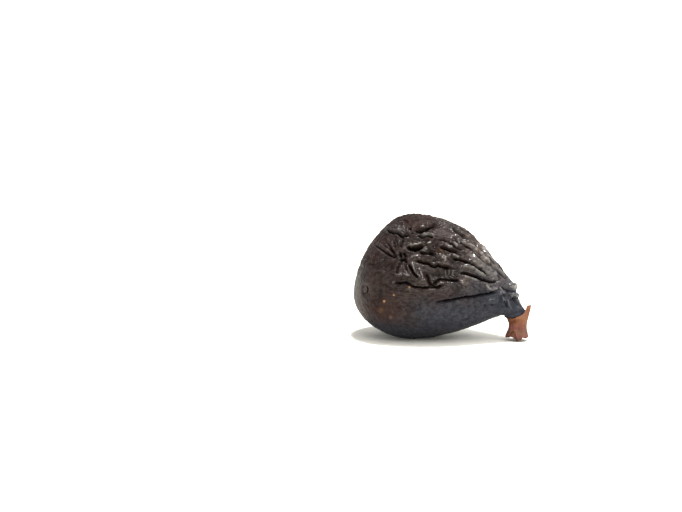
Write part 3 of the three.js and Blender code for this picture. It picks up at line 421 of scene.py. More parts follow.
def body_place(length, around):
    """Places on the smooth body, before any relief, with their outward directions."""
    point, middle, radius, breadth, out = body_point(length, around)
    step = 0.05
    after = body_point(np.minimum(length + step, BODY_LENGTH), around)[0]
    before = body_point(np.maximum(length - step, 0), around)[0]
    sine = np.sin(around)
    sideways = np.stack([-sine * out[:, 0], -np.cos(around) * breadth, -sine * out[:, 1]], 1)
    normal = np.cross(sideways, after - before)
    normal /= np.linalg.norm(normal, axis=1)[:, None]
    return point, normal, middle, radius


EYE = np.array([
    -math.cos(EYE_ANGLE),
    -math.sin(EYE_ANGLE) * math.sin(EYE_AROUND),
    math.sin(EYE_ANGLE) * math.cos(EYE_AROUND),
])


def from_eye(direction):
    """Directions with the eye end moved onto the eye, so that the folds start from it."""
    share = ((1 - direction[:, 0]) / (1 - EYE[0])) ** 2
    moved = direction - share[:, None] * (EYE + np.array([1, 0, 0]))
    return moved / np.linalg.norm(moved, axis=1)[:, None]


def view_axes(azimuth, elevation):
    """Right, up and towards the viewer, for a view from an azimuth and an elevation."""
    right = np.array([math.cos(azimuth), math.sin(azimuth), 0])
    up = np.array([
        -math.sin(azimuth) * math.sin(elevation),
        math.cos(azimuth) * math.sin(elevation),
        math.cos(elevation),
    ])
    return right, up, np.cross(right, up)


SIDE_RIGHT, SIDE_UP, TO_VIEWER = view_axes(VIEW_AZIMUTH, VIEW_ELEVATION)


def nearest_on_path(u, v, path):
    """How near each point of the side view is to a path, and how far along the path that is."""
    corners = np.array(path, float)
    sizes = np.linalg.norm(np.diff(corners, axis=0), axis=1)
    nearest = np.full(len(u), np.inf)
    share = np.zeros(len(u))
    done = 0.0
    for (x0, y0), (x1, y1), size in zip(corners[:-1], corners[1:], sizes):
        t = np.clip(((u - x0) * (x1 - x0) + (v - y0) * (y1 - y0)) / size**2, 0, 1)
        distance = np.hypot(u - x0 - t * (x1 - x0), v - y0 - t * (y1 - y0))
        closer = distance < nearest
        nearest = np.where(closer, distance, nearest)
        share = np.where(closer, (done + t * size) / sizes.sum(), share)
        done += size
    return nearest, share


def crease_height(point, normal):
    """The creases, crests and pucker, as a height on the side that faces the viewer."""
    facing = smooth(-0.3, 0.1, normal @ TO_VIEWER)
    u, v = point @ SIDE_RIGHT, point @ SIDE_UP
    height = np.zeros(len(point))
    for tall, width, path in SWELLINGS:
        distance, share = nearest_on_path(u, v, path)
        height += tall * smooth(0, 0.25, share) * smooth(1, 0.75, share) * np.exp(-((distance / width) ** 2))
    swollen = point + (facing * height)[:, None] * normal
    u, v = swollen @ SIDE_RIGHT, swollen @ SIDE_UP
    wander_u = u + 0.07 * noise(point / 0.9, 41)
    wander_v = v + PATH_DROP + 0.07 * noise(point / 0.9, 42)
    dark = np.zeros(len(point))
    for crease_depth_and_shade, width, path in CREASES:
        distance, share = nearest_on_path(wander_u, wander_v, path)
        taper = 0.3 + 0.7 * smooth(0, 0.12, share) * smooth(1, 0.88, share)
        groove = 0.5 * np.exp(-distance / (1.5 * width)) + 0.5 * np.exp(-((distance / (0.7 * width)) ** 1.5))
        lip = np.exp(-(((distance - 1.8 * width) / (0.8 * width)) ** 2))
        height += taper * crease_depth_and_shade * (LIP_SHARE * lip - groove)
        # Painted shade: a dark line along the floor of each crease, gathered in dark.
        line = np.exp(-((distance / (0.75 * width)) ** 1.5))
        dark = np.maximum(dark, taper * min(1, crease_depth_and_shade / 0.8) * line)
    raised = np.zeros(len(point))
    # Painted highlights: a thin pale line along each narrow crest, standing in for its glint.
    painted_glint = np.zeros(len(point))
    for tall, width, path in CRESTS:
        distance, share = nearest_on_path(wander_u, wander_v, path)
        taper = 0.2 + 0.8 * smooth(0, 0.2, share) * smooth(1, 0.8, share)
        raised = np.maximum(raised, taper * tall * np.exp(-((distance / width) ** 2)))
        narrow = min(1, PAINTED_GLINT_CREST / width, tall / PAINTED_GLINT_CREST) ** 2
        painted_glint = np.maximum(painted_glint, taper * narrow * np.exp(-((distance / PAINTED_GLINT_WIDTH) ** 2)))
    across, above = u - PUCKER[0], v - PUCKER[1]
    from_pucker = np.hypot(across, above)
    dip = PUCKER_DEPTH * np.exp(-((from_pucker / PUCKER_SPREAD) ** 2))
    turned = np.stack([across, above], 1) / np.maximum(from_pucker, 0.1)[:, None] * RAYS_PER_RADIAN
    rays = 1 - np.exp(-np.abs(noise(np.column_stack([turned, from_pucker / 6]), 43)) / VALLEY_WIDTH)
    rayed = smooth(1.0, 2.2, from_pucker) * smooth(7.5, 3.0, from_pucker) * smooth(1.5, -1.0, across)
    height += RAY_HEIGHT * rayed * (rays - 0.7)
    # Painted shade along the valleys of the pucker's rays.
    dark = np.maximum(dark, 0.65 * rayed * (1 - rays))
    calm = smooth(-0.7, 0, normal @ TO_VIEWER)
    return facing * (height + raised - dip), facing * raised, facing * dark, facing * painted_glint, calm


def wrinkled_share(point, normal, middle, eye_angle):
    """How wrinkled the skin is: most on top and towards the neck, least on the belly and by the eye."""
    belly = smooth(0.1, 0.9, -normal[:, 2] + 0.3 * noise(point / 7, 51))
    v = point @ SIDE_UP
    eye_end = smooth(3, -7, middle[:, 0] + 0.25 * (v - 14)) * smooth(19, 11, v)
    patches = 0.75 + 0.5 * smooth(-0.3, 0.3, noise(point / 8, 52))
    return (1 - 0.85 * np.maximum(belly, eye_end)) * patches * smooth(0.1, 0.35, eye_angle)


def bract_share(around, middle, spread):
    """How strongly angles belong to a bract: 1 at its middle."""
    turn = np.arctan2(np.sin(around - middle), np.cos(around - middle))
    return np.exp(-((turn / spread) ** 2))


def collar_reach(around):
    """How far back from the neck's tip the stem's collar comes, along the body."""
    horn = HORN_REACH * bract_share(around, HORN_AROUND, HORN_SPREAD)
    return COLLAR_REACH + horn + sum(far * bract_share(around, middle, spread) for middle, spread, far, _, _ in BRACTS)


def folds_round(around, length, per_radian, cell, seed):
    """Smooth folds with thin valleys between them, drawn out along the fruit."""
    turned = [per_radian * np.cos(around), per_radian * np.sin(around), length / cell]
    return 1 - np.exp(-np.abs(noise(np.stack(turned, 1), seed)) / VALLEY_WIDTH)


def relief(direction, point, normal, middle, radius, length):
    swung = from_eye(direction)
    eye_angle = np.arccos(np.clip(-swung[:, 0], -1, 1))
    around = np.arctan2(-swung[:, 1], swung[:, 2])
    wrinkled = wrinkled_share(point, normal, middle, eye_angle)
    slimness = np.clip(radius / WIDEST_RADIUS, LEAST_RELIEF, 1)
    bend = noise(point / 9, 21)

    folds = folds_round(around + 0.32 * bend, length, FOLDS_PER_RADIAN, 14, 22)
    wrinkles = folds_round(around + 0.27 * bend, length, 1.9 * FOLDS_PER_RADIAN, 8, 23)
    warp = np.stack([noise(point / 2.6, seed) for seed in (31, 32, 33)], 1)
    net = ridges(noise(point / 1.9 + 0.7 * warp, 34))
    fine_net = ridges(noise(point / 0.75 + 0.6 * warp, 35))
    u, v = point @ SIDE_RIGHT, point @ SIDE_UP
    dull = spot(u, v, DULL_PLACE, DULL_SIZE)
    knobbly = smooth(-0.2, 0.3, normal @ TO_VIEWER) * spot(u, v, KNOBBLY_PLACE, KNOBBLY_SIZE) * (1 - dull)
    flow = np.stack([radius * np.cos(around) / 0.8, radius * np.sin(around) / 0.8, length / 3.2], 1)
    fine_lines = 1 - np.exp(-np.abs(noise(flow + 0.5 * warp, 36)) / VALLEY_WIDTH)
    knobs = ridges(noise(flow * np.array([0.75, 0.75, 1.4]) + 0.9 * warp, 37))
    placed, raised, dark, painted_glint, calm = crease_height(point, normal)

    height = LUMP_HEIGHT * slimness * noise(point / 11, 11)
    folded = FOLD_HEIGHT * (folds - 0.7) + WRINKLE_HEIGHT * (wrinkles - 0.7)
    height += (1 - NEAR_CALM * calm) * wrinkled * slimness * folded
    netted = (1 - 0.4 * calm) * (0.3 + 0.7 * wrinkled) * np.minimum(1.3 * slimness, 1)
    height += NET_HEIGHT * netted * (net - 0.5)
    height += FINE_NET_HEIGHT * (0.5 + 0.5 * wrinkled) * (1 - 0.7 * dull) * (fine_net - 0.5)
    height += KNOB_HEIGHT * knobbly * (knobs - 0.5)
    lined = (0.12 + 0.88 * smooth(0.3, 0.9, wrinkled)) * np.minimum(1.5 * slimness, 1)
    height += FINE_LINE_HEIGHT * lined * (fine_lines - 0.7)
    # Painted shade along the valleys of the fine lines.
    dark = np.maximum(dark, 0.5 * lined * (1 - fine_lines))
    height += placed

    from_pit = np.arccos(np.clip(direction @ EYE, -1, 1))
    height *= smooth(0.04, 0.16, from_pit)
    height -= EYE_PIT_DEPTH * np.exp(-((from_pit / EYE_PIT_SPREAD) ** 4))
    past_collar = BODY_LENGTH - length - collar_reach(np.arctan2(-direction[:, 1], direction[:, 2]))
    return height * smooth(0.1, 1.7, past_collar), raised, dark, painted_glint


def skin(direction, lift=0.0):
    """Points of the wrinkled skin, raised a little more by lift and flat where the fig rests, with facts."""
    angle = np.arccos(np.clip(-direction[:, 0], -1, 1))
    length = angle / math.pi * BODY_LENGTH
    point, normal, middle, radius = body_place(length, np.arctan2(-direction[:, 1], direction[:, 2]))
    height, fold, dark, painted_glint = relief(direction, point, normal, middle, radius, length)
    raised = point + (height + lift)[:, None] * normal
    raised[:, 2] = np.maximum(raised[:, 2], 0)
    facts = {"base": point, "normal": normal, "height": height, "length": length}
    return raised, {**facts, "fold": fold, "dark": dark, "painted_glint": painted_glint}


def ball(cuts):
    """Unit directions and triangles of an icosahedron with each edge cut into equal parts."""
    golden = (1 + math.sqrt(5)) / 2
    corners = []
    for a in (-1, 1):
        for b in (-golden, golden):
            corners += [(0, a, b), (a, b, 0), (b, 0, a)]
    corners = np.array(corners, float)
    edge = 2.0
    faces = []
    for i in range(12):
        for j in range(i + 1, 12):
            for k in range(j + 1, 12):
                trio = corners[[i, j, k]]
                gaps = np.linalg.norm(trio - np.roll(trio, 1, axis=0), axis=1)
                if np.allclose(gaps, edge):
                    outward = np.dot(np.cross(trio[1] - trio[0], trio[2] - trio[0]), trio[0]) > 0
                    faces.append((i, j, k) if outward else (i, k, j))
    row, column = np.nonzero(np.add.outer(np.arange(cuts + 1), np.arange(cuts + 1)) <= cuts)
    number = -np.ones((cuts + 1, cuts + 1), int)
    number[row, column] = np.arange(len(row))
    r, c = row[row + column < cuts], column[row + column < cuts]
    upright = np.stack([number[r, c], number[r + 1, c], number[r, c + 1]], 1)
    r, c = row[row + column < cuts - 1], column[row + column < cuts - 1]
    turned = np.stack([number[r + 1, c], number[r + 1, c + 1], number[r, c + 1]], 1)
    one_face = np.vstack([upright, turned])
    points, triangles = [], []
    for count, (i, j, k) in enumerate(faces):
        spot = corners[i] * (cuts - row - column)[:, None] + corners[j] * row[:, None] + corners[k] * column[:, None]
        points.append(spot / np.linalg.norm(spot, axis=1)[:, None])
        triangles.append(one_face + count * len(row))
    points, triangles = np.vstack(points), np.vstack(triangles)
    _, first, merged = np.unique(np.round(points, 7), axis=0, return_index=True, return_inverse=True)
    return points[first], merged.reshape(-1)[triangles]


def inside_cad_box(points):
    """Row-frame points in metres, kept within the CAD model's own box."""
    placed = (points - BOX_MIDDLE) * MM
    return np.clip(placed, np.array(CAD_BOX[0]), np.array(CAD_BOX[1]))


def make_piece(name, points, triangles, fields=None):
    mesh = bpy.data.meshes.new(name)
    mesh.from_pydata(inside_cad_box(points).tolist(), [], triangles.tolist())
    mesh.polygons.foreach_set("use_smooth", [True] * len(triangles))
    for field, values in (fields or {}).items():
        attribute = mesh.attributes.new(field, "FLOAT", "POINT")
        attribute.data.foreach_set("value", np.asarray(values, np.float32))
    mesh.update()
    piece = bpy.data.objects.new(name, mesh)
    bpy.context.scene.collection.objects.link(piece)
    return piece


def skin_fields(facts):
    """What the skin's material reads at each point: painted shade where it lies deep in a crease, painted glints along
    its crests, how ruddy, bloomed and thin it is there, and where a lower sheen paints shade.
    """
    point, normal, height = facts["base"], facts["normal"], facts["height"]
    u, v = point @ SIDE_RIGHT, point @ SIDE_UP
    facing = smooth(-0.2, 0.3, normal @ TO_VIEWER)
    blurred = noise(point / 3.1, 71)
    ruddy = facing * spot(u, v, (-7.5, 6.0), (4.5, 3.0))
    neck_bloom = smooth(4, 20, facts["length"] - 26) * smooth(21, 8, v + 3 * blurred)
    # A bluish bloom along the belly's bottom and lower right, which there also paints the floor's reflection.
    low_bloom_and_reflection = np.maximum(smooth(5.5, 1, v + 2 * blurred), smooth(11, 5, v + 2 * blurred) * smooth(-3, 5, u))
    bloom_and_reflection = np.maximum(neck_bloom, 0.9 * low_bloom_and_reflection)
    # A lower sheen over the top, which paints shade there.
    dull_and_painted_shade = smooth(23.5, 26, v + 0.6 * u + blurred) * smooth(9, 4, u + blurred) * smooth(22.5, 25.5, v + blurred)
    thin = smooth(12, 25, u + 0.8 * v - 8 + 4 * blurred) * smooth(7, 12, v)
    specks = sum(strength * spot(u, v, middle, (size, size)) for *middle, size, strength in SPECKS)
    wet = smooth(9, 13, v + 1.5 * blurred) * smooth(-5, 0, u + 1.5 * blurred) * (1 - dull_and_painted_shade)
    wet = wet * (1 - 0.8 * spot(u, v, DULL_PLACE, DULL_SIZE))
    return {
        # Painted glints along the crests, and painted shade deep in the creases and valleys.
        "painted_glint": facts["painted_glint"] * wet * (0.75 + 0.8 * blurred) * smooth(22, 20, u),
        "crease_depth_and_shade": np.maximum(smooth(-0.6, -1.5, height), smooth(0.25, 0.85, facts["dark"])),
        "crest": np.maximum(smooth(0.3, 0.9, height), smooth(0.08, 0.35, facts["fold"])),
        "ruddy": ruddy,
        "bloom_and_reflection": bloom_and_reflection,
        "thin": thin * smooth(-0.4, 0.4, height),
        "wet": wet,
        # A lower sheen at the lower left that paints shade there, and a duller patch above the middle.
        "dull_and_painted_shade": np.maximum(dull_and_painted_shade, facing * np.maximum(
            spot(u, v, (-8.8, 6.0), (5.0, 5.0)), 0.8 * spot(u, v, (6.0, 21.5), (5.0, 4.0)),
        )),
        "specks": facing * np.minimum(specks, 1),
    }


def make_fruit():
    direction, triangles = ball(FRUIT_CUTS)
    direction = direction + FINE_SIDE
    direction /= np.linalg.norm(direction, axis=1)[:, None]
    points, facts = skin(direction)
    return make_piece("fig_skin", points, triangles, skin_fields(facts))


def ringed(start, rings, end):
    """Points and triangles of rings of points with a single point before and after them."""
    sides = len(rings[0])
    points = np.vstack([[start], *rings, [end]])
    side = np.arange(sides)
    following = (side + 1) % sides
    last = len(points) - 1
    triangles = [np.stack([0 * side, 1 + following, 1 + side], 1)]
    for ring in range(1, len(rings)):
        inner, outer = 1 + (ring - 1) * sides, 1 + ring * sides
        triangles.append(np.stack([inner + side, outer + following, outer + side], 1))
        triangles.append(np.stack([inner + side, inner + following, outer + following], 1))
    final = 1 + (len(rings) - 1) * sides
    triangles.append(np.stack([final + side, final + following, 0 * side + last], 1))
    return points, np.vstack(triangles)


def between_rings(rings, steps):
    """The rings with smooth ones between them, on a curve through each line of points."""
    rings = np.array(rings)
    padded = np.concatenate([rings[:1], rings, rings[-1:]])
    made = []
    for index in range(len(rings) - 1):
        a, b, c, d = padded[index : index + 4]
        for t in np.arange(steps) / steps:
            made.append(0.5 * (
                2 * b + (c - a) * t + (2 * a - 5 * b + 4 * c - d) * t**2 + (3 * b - a - 3 * c + d) * t**3
            ))
    return made + [rings[-1]]


def stem_rings():
    around = np.arange(STEM_SIDES) / STEM_SIDES * 2 * math.pi

    shares = [bract_share(around, middle, spread) for middle, spread, *_ in BRACTS]
    horn = bract_share(around, HORN_AROUND, HORN_SPREAD)
    reach = collar_reach(around)
    flare = sum(share * off for share, (_, _, _, off, _) in zip(shares, BRACTS))
    thickness = COLLAR_THICKNESS + HORN_THICKNESS * horn
    thickness = thickness + sum(share * extra for share, (_, _, _, _, extra) in zip(shares, BRACTS))

    def collar(share, lift, lean):
        point, normal, _, _ = body_place(BODY_LENGTH - share * reach, around)
        tip = np.stack([HORN_LEAN * horn, 0 * horn, HORN_RISE * horn], 1)
        return point + (lift + flare * share**2)[:, None] * normal + lean * tip

    def level(height, scale=1.0):
        """A ring at heights above the surface whose angle 0 points to +X and whose quarter turn points to -Y."""
        place = np.stack([2.2 * np.cos(around), 2.2 * np.sin(around), 0 * around], 1)
        swell = 1 + STUB_LOBES * np.cos(3 * around + 0.6) + STUB_RIPPLE * noise(place, 63)
        radius = np.interp(height, *zip(*STUB_PROFILE)) * scale * swell
        middle = STEM_X - FOOT_LEAN * smooth(3, 1, height)
        return np.stack([middle + radius * np.cos(around), -radius * np.sin(around), height + 0 * around], 1)

    def edge(points):
        return np.interp(around, *zip(*points), period=2 * math.pi)

    inner = [collar(share, 0 * around + STEM_GAP, share**8) for share in (0.2, 0.4, 0.6, 0.75, 0.9, 1)]
    rim = collar(1.02, STEM_GAP + 0.5 * thickness, 1)
    rim[:, 0] -= HORN_HOOK * horn
    rim[:, 2] -= 0.2 * horn
    outer = [collar(share, STEM_GAP + thickness, share**4) for share in (0.98, 0.9, 0.75)]
    top, below = level(4.0 + 0 * around), level(3.2 + 0 * around)
    throat = [outer[-1] + (top - outer[-1]) * share for share in (0.33, 0.67)]
    wall, core = edge(WALL_EDGE), edge(CORE_EDGE)
    notch = bract_share(around, NOTCH_AROUND, NOTCH_SPREAD)
    skirt = [level(wall + (3.2 - wall) * share) for share in (0.7, 0.4, 0.15, 0)]
    torn = [
        level(wall + 0.45 * notch, 0.86),
        level(np.maximum(core, wall) + 0.1 * notch, 0.8),
        level(core, 0.8),
        level(core + 0.1, 0.6),
    ]
    return [*inner, rim, *outer, *throat, top, below, *skirt, *torn, level(HOLLOW_HEIGHT + 0.3 * core, 0.5)]


def make_stem():
    rings = between_rings(stem_rings(), STEM_STEPS)
    tip = body_place(np.array([BODY_LENGTH]), np.array([0.0]))
    start = tip[0][0] + STEM_GAP * tip[1][0]
    points, triangles = ringed(start, rings, [STEM_X, 0, HOLLOW_HEIGHT + 0.5])
    # Fibres run down the stub
    fibre = noise(points * np.array([3.2, 3.2, 0.5]), 65)
    outward = points - np.array([STEM_X, 0, 0])
    outward[:, 2] = 0
    outward /= np.maximum(np.linalg.norm(outward, axis=1), 0.3)[:, None]
    outside = smooth(1.7, 1.9, np.hypot(points[:, 0] - STEM_X, points[:, 1]))
    points = points + (0.16 * fibre * outside * smooth(5.0, 4.0, points[:, 2]))[:, None] * outward
    points[:, 2] = np.maximum(points[:, 2], 0)
    # Darker on the collar where it reaches back over the neck, and towards the torn foot.
    dark_collar_and_foot = smooth(24.3, 23.0, points[:, 0]) * smooth(4.3, 5.2, points[:, 2])
    dark_collar_and_foot = np.maximum(dark_collar_and_foot, 0.6 * smooth(1.35, 0.75, points[:, 2]))
    fields = {"fibre": 0.5 + 0.6 * fibre, "rise": points[:, 2] / 6, "dark_collar_and_foot": dark_collar_and_foot}
    return make_piece("fig_stem", points, triangles, fields)


def beside_eye(angle, turn):
    level = np.cross([0, 0, 1], EYE)
    level /= np.linalg.norm(level)
    upright = np.cross(level, EYE)
    sideways = np.cos(turn)[:, None] * level + np.sin(turn)[:, None] * upright
    return math.cos(angle) * EYE + math.sin(angle) * sideways


def make_eye():
    turn = np.arange(BUTTON_SIDES) / BUTTON_SIDES * 2 * math.pi
    rings = []
    for step in range(1, BUTTON_RINGS + 1):
        share = step / BUTTON_RINGS
        scale = np.abs(np.sin(0.5 * BUTTON_SCALES * turn + 2.5 * share))
        dome = BUTTON_THICKNESS * (0.55 + 0.45 * math.sin(math.pi * min(share, 0.85)))
        lift = BUTTON_GAP + dome * (0.6 + 0.4 * scale)
        rings.append(skin(beside_eye(BUTTON_SPREAD * share, turn), lift)[0])
    for share in (0.97, 0.6, 0.3):
        rings.append(skin(beside_eye(BUTTON_SPREAD * share, turn), 0 * turn + 0.5 * BUTTON_GAP)[0])
    top = skin(EYE[None], np.array([BUTTON_GAP + 0.35 * BUTTON_THICKNESS]))[0][0]
    under = skin(EYE[None], np.array([0.5 * BUTTON_GAP]))[0][0]
    points, triangles = ringed(top, rings, under)
    return make_piece("fig_eye", points, triangles)


class Shader:
    """A short way to write a material's nodes and links."""

    def __init__(self, name):
        self.material = bpy.data.materials.new(name)
        self.material.use_nodes = True
        self.nodes = self.material.node_tree.nodes
        self.links = self.material.node_tree.links
        self.surface = self.nodes["Principled BSDF"]

    def node(self, kind, values=None, **settings):
        made = self.nodes.new(kind)
        for setting, value in settings.items():
            setattr(made, setting, value)
        for socket, value in (values or {}).items():
            self.put(made.inputs[socket], value)
        return made

    def put(self, socket, value):
        if isinstance(value, bpy.types.NodeSocket):
            self.links.new(value, socket)
        else:
            socket.default_value = value

    def field(self, name):
        return self.node("ShaderNodeAttribute", attribute_name=name).outputs["Fac"]

    def noise(self, scale, detail=3.0, roughness=0.55, stretch=None):
        place = self.node("ShaderNodeTexCoord").outputs["Object"]
        if stretch:
            place = self.node("ShaderNodeMapping", {"Vector": place, "Scale": stretch}).outputs[0]
        values = {"Vector": place, "Scale": scale, "Detail": detail, "Roughness": roughness}
        return self.node("ShaderNodeTexNoise", values).outputs["Fac"]

    def math(self, operation, a, b=0.0, c=0.0):
        made = self.node("ShaderNodeMath", operation=operation)
        for socket, value in zip(made.inputs, (a, b, c)):
            self.put(socket, value)
        return made.outputs[0]

    def ramp(self, value, low, high, start=0.0, end=1.0):
        values = {"Value": value, "From Min": low, "From Max": high, "To Min": start, "To Max": end}
        return self.node("ShaderNodeMapRange", values, interpolation_type="SMOOTHSTEP").outputs[0]

    def mix(self, share, a, b):
        made = self.node("ShaderNodeMix", data_type="RGBA")
        self.put(made.inputs["Factor"], share)
        for socket, value in ((made.inputs[6], a), (made.inputs[7], b)):
            self.put(socket, (*value, 1.0) if isinstance(value, tuple) else value)
        return made.outputs[2]

    def bump(self, height, distance, strength=1.0, below=None):
        values = {"Height": height, "Distance": distance, "Strength": strength}
        if below is not None:
            values["Normal"] = below
        return self.node("ShaderNodeBump", values).outputs["Normal"]


def skin_material():
    shader = Shader("dried_fig_skin")
    surface = shader.surface.inputs
    broad = shader.noise(260, 2.0)
    mottle = shader.noise(900, 4.0, 0.6)
    grain = shader.noise(4200, 3.0, 0.6)

    plum = shader.mix(shader.ramp(broad, 0.35, 0.65), (0.009, 0.005, 0.004), (0.018, 0.009, 0.007))
    thin_share = shader.math("MULTIPLY", shader.field("thin"), shader.ramp(mottle, 0.35, 0.7))
    brown = shader.mix(thin_share, plum, (0.105, 0.078, 0.062))
    ruddy_share = shader.math("MULTIPLY", shader.field("ruddy"), shader.ramp(mottle, 0.3, 0.75))
    ruddy = shader.mix(ruddy_share, brown, (0.020, 0.006, 0.005))
    # A bluish bloom on the neck and belly, which along the bottom also paints the floor's reflection.
    bloom_and_reflection_share = shader.math("MULTIPLY", shader.field("bloom_and_reflection"), shader.ramp(mottle, 0.2, 0.8, 0.65, 1.0))
    with_bloom_and_reflection = shader.mix(bloom_and_reflection_share, ruddy, (0.013, 0.015, 0.022))
    # Painted highlights: a pale line along the crests.
    painted_glint_share = shader.math("MULTIPLY", shader.field("painted_glint"), shader.ramp(mottle, 0.35, 0.6, 0.3, 1.0))
    with_painted_glints = shader.mix(painted_glint_share, with_bloom_and_reflection, (0.19, 0.175, 0.155))
    specked = shader.mix(shader.field("specks"), with_painted_glints, (0.50, 0.27, 0.13))
    # Painted shade: near black deep in the creases and valleys.
    crease_shaded = shader.mix(shader.field("crease_depth_and_shade"), specked, (0.003, 0.002, 0.002))
    shader.put(surface["Base Color"], crease_shaded)

    shader.put(surface["Roughness"], shader.ramp(mottle, 0.3, 0.7, 0.42, 0.55))
    # Less sheen and coat where the creases' shade is painted.
    outside_painted_shade = shader.math("MULTIPLY_ADD", shader.field("crease_depth_and_shade"), -0.85, 1.0)
    # Less sheen where shade is painted over the top and the lower left, and on a duller patch.
    sheen = shader.math("MULTIPLY_ADD", shader.field("dull_and_painted_shade"), -0.15, 0.20)
    sheen = shader.math("MULTIPLY_ADD", shader.field("wet"), -0.04, sheen)
    sheen = shader.math("MULTIPLY", sheen, shader.ramp(mottle, 0.4, 0.6, 0.55, 1.4))
    shader.put(surface["Specular IOR Level"], shader.math("MULTIPLY", sheen, outside_painted_shade))
    dry_tint = shader.mix(shader.field("wet"), (1.0, 0.93, 0.95), (1.0, 0.96, 0.92))
    shader.put(surface["Specular Tint"], shader.mix(bloom_and_reflection_share, dry_tint, (0.88, 0.97, 1.16)))
    wet = shader.math("MULTIPLY", shader.field("wet"), shader.ramp(broad, 0.4, 0.6, 0.05, 0.4))
    gloss = shader.math("MAXIMUM", shader.field("crest"), wet)
    shader.put(surface["Coat Weight"], shader.math("MULTIPLY", gloss, outside_painted_shade))
    surface["Coat Roughness"].default_value = 0.13
    coarse = shader.bump(mottle, 0.00018, 0.7)
    shader.put(surface["Normal"], shader.bump(grain, 0.00003, 0.6, coarse))
    return shader.material


def stem_material():
    shader = Shader("dried_fig_stem")
    surface = shader.surface.inputs
    fibres = shader.noise(700, 4.0, 0.6, (1, 1, 0.15))
    bands = shader.noise(300, 2.0, 0.5, (0.4, 0.4, 2.0))
    grain = shader.noise(5000, 3.0)
    tan = shader.mix(shader.ramp(fibres, 0.35, 0.7), (0.080, 0.028, 0.016), (0.165, 0.072, 0.038))
    orange = shader.mix(shader.ramp(shader.field("rise"), 0.35, 0.8, 0.0, 0.6), tan, (0.19, 0.068, 0.020))
    low = shader.ramp(shader.field("rise"), 0.5, 0.8, 1.0, 0.2)
    red_share = shader.math("MULTIPLY", shader.ramp(bands, 0.40, 0.62), low)
    red = shader.mix(red_share, orange, (0.115, 0.024, 0.020))
    dark = shader.mix(shader.ramp(shader.field("fibre"), 0.45, 0.15), red, (0.06, 0.022, 0.014))
    # Darker on the collar over the neck and towards the foot.
    shader.put(surface["Base Color"], shader.mix(shader.field("dark_collar_and_foot"), dark, (0.035, 0.012, 0.010)))
    surface["Roughness"].default_value = 0.6
    surface["Specular IOR Level"].default_value = 0.3
    surface["Subsurface Weight"].default_value = 0.15
    surface["Subsurface Radius"].default_value = (0.6, 0.25, 0.1)
    surface["Subsurface Scale"].default_value = 0.0006
    coarse = shader.bump(fibres, 0.00015, 0.8)
    shader.put(surface["Normal"], shader.bump(grain, 0.00003, 0.5, coarse))
    return shader.material


def eye_material():
    shader = Shader("dried_fig_eye")
    surface = shader.surface.inputs
    mottle = shader.noise(1500, 3.0)
    shader.put(surface["Base Color"], shader.mix(shader.ramp(mottle, 0.35, 0.7), (0.014, 0.008, 0.007), (0.06, 0.030, 0.024)))
    surface["Roughness"].default_value = 0.6
    shader.put(surface["Normal"], shader.bump(mottle, 0.0001, 0.7))
    return shader.material


def floor_material():
    shader = Shader("pale_floor")
    surface = shader.surface.inputs
    shade = shader.noise(3, 2.0)
    shader.put(surface["Base Color"], shader.mix(shade, (0.93, 0.91, 0.82), (0.95, 0.93, 0.84)))
    surface["Roughness"].default_value = 0.8
    return shader.material


def make_floor():
    """A level floor, far wider than the picture."""
    half = 12.0
    mesh = bpy.data.meshes.new("floor")
    corners = [(-half, -half, 0), (half, -half, 0), (half, half, 0), (-half, half, 0)]
    mesh.from_pydata(corners, [], [(0, 1, 2, 3)])
    mesh.materials.append(floor_material())
    floor = bpy.data.objects.new("floor", mesh)
    bpy.context.scene.collection.objects.link(floor)


def make_light(name, place, size, power, target=(0.0, 0.0, 0.012)):
    lamp = bpy.data.lights.new(name, "AREA")
    lamp.shape = "RECTANGLE"
    lamp.size, lamp.size_y = size
    lamp.energy = power
    light = bpy.data.objects.new(name, lamp)
    light.location = place
    light.rotation_euler = (Vector(target) - Vector(place)).to_track_quat("-Z", "Y").to_euler()
    bpy.context.scene.collection.objects.link(light)


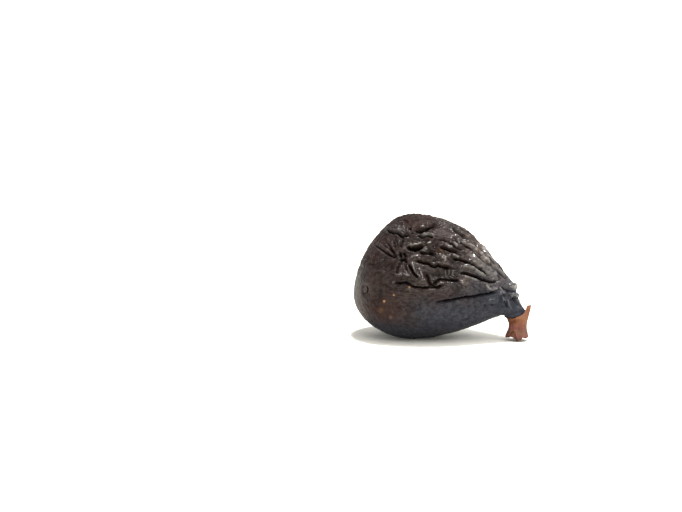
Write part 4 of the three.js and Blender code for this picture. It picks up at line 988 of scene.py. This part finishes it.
def make_world():
    """White all round the horizon, and dimmer in the upper front and left, so that the near side stays dark."""
    world = bpy.data.worlds.new("studio")
    world.use_nodes = True
    tree = world.node_tree

    def fade(value, low, high, start, end):
        made = tree.nodes.new("ShaderNodeMapRange")
        made.interpolation_type = "SMOOTHSTEP"
        tree.links.new(value, made.inputs["Value"])
        for socket, number in (("From Min", low), ("From Max", high), ("To Min", start), ("To Max", end)):
            made.inputs[socket].default_value = number
        return made.outputs[0]

    def combine(operation, a, b):
        made = tree.nodes.new("ShaderNodeMath")
        made.operation = operation
        tree.links.new(a, made.inputs[0])
        tree.links.new(b, made.inputs[1])
        return made.outputs[0]

    place = tree.nodes.new("ShaderNodeTexCoord")
    parts = tree.nodes.new("ShaderNodeSeparateXYZ")
    tree.links.new(place.outputs["Generated"], parts.inputs[0])
    front = fade(parts.outputs["Y"], -0.6, 0.5, 0.7, 0.0)
    left = fade(parts.outputs["X"], -0.7, 0.3, 0.6, 0.0)
    dimmed = combine("MULTIPLY", combine("MAXIMUM", front, left), fade(parts.outputs["Z"], 0.2, 0.5, 0.0, 1.0))
    background = tree.nodes["Background"].inputs
    background["Color"].default_value = (1.0, 1.0, 1.0, 1.0)
    tree.links.new(fade(dimmed, 0.0, 1.0, 1.25, 0.15), background["Strength"])
    bpy.context.scene.world = world


def make_lights():
    make_light("glint_light", (0.05, -0.02, 0.70), (0.12, 0.08), 8.0)
    sun = bpy.data.lights.new("broad_light", "SUN")
    sun.energy = 2.2
    sun.angle = math.radians(60)
    light = bpy.data.objects.new("broad_light", sun)
    light.rotation_euler = Vector((0.55, -0.4, 1.0)).to_track_quat("Z", "Y").to_euler()
    bpy.context.scene.collection.objects.link(light)
    make_world()
    bpy.context.scene.view_settings.view_transform = "Standard"


def make_camera():
    """The camera stands where the fig shows its photographed side, and looks past it to the frame's middle."""
    back = view_axes(VIEW_AZIMUTH, VIEW_ELEVATION)[2]
    fig_middle = np.array([0, 0, FIG_HEIGHT]) - BOX_MIDDLE
    pixels = LENS / SENSOR * PHOTO_WIDTH
    turn = math.atan((FIG_PIXEL[0] - PHOTO_WIDTH / 2) / pixels)
    dip = math.atan((FIG_PIXEL[1] - PHOTO_HEIGHT / 2) / pixels)
    aim = view_axes(VIEW_AZIMUTH + turn, VIEW_ELEVATION - dip)[2]
    lens = bpy.data.cameras.new("camera")
    lens.lens = LENS
    lens.sensor_width = SENSOR
    lens.clip_start = 0.01
    camera = bpy.data.objects.new("camera", lens)
    camera.location = Vector((fig_middle + VIEW_DISTANCE * back) * MM)
    camera.rotation_euler = Vector(-aim).to_track_quat("-Z", "Y").to_euler()
    bpy.context.scene.collection.objects.link(camera)
    bpy.context.scene.camera = camera


def place(piece, node, slot, material):
    piece.data.materials.append(material)
    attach(piece, "root")
    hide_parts(node)


place(make_fruit(), "fruit", "skin", skin_material())
place(make_stem(), "stem", "stem", stem_material())
place(make_eye(), "ostiole", "eye_scales", eye_material())
make_floor()
make_lights()
make_camera()
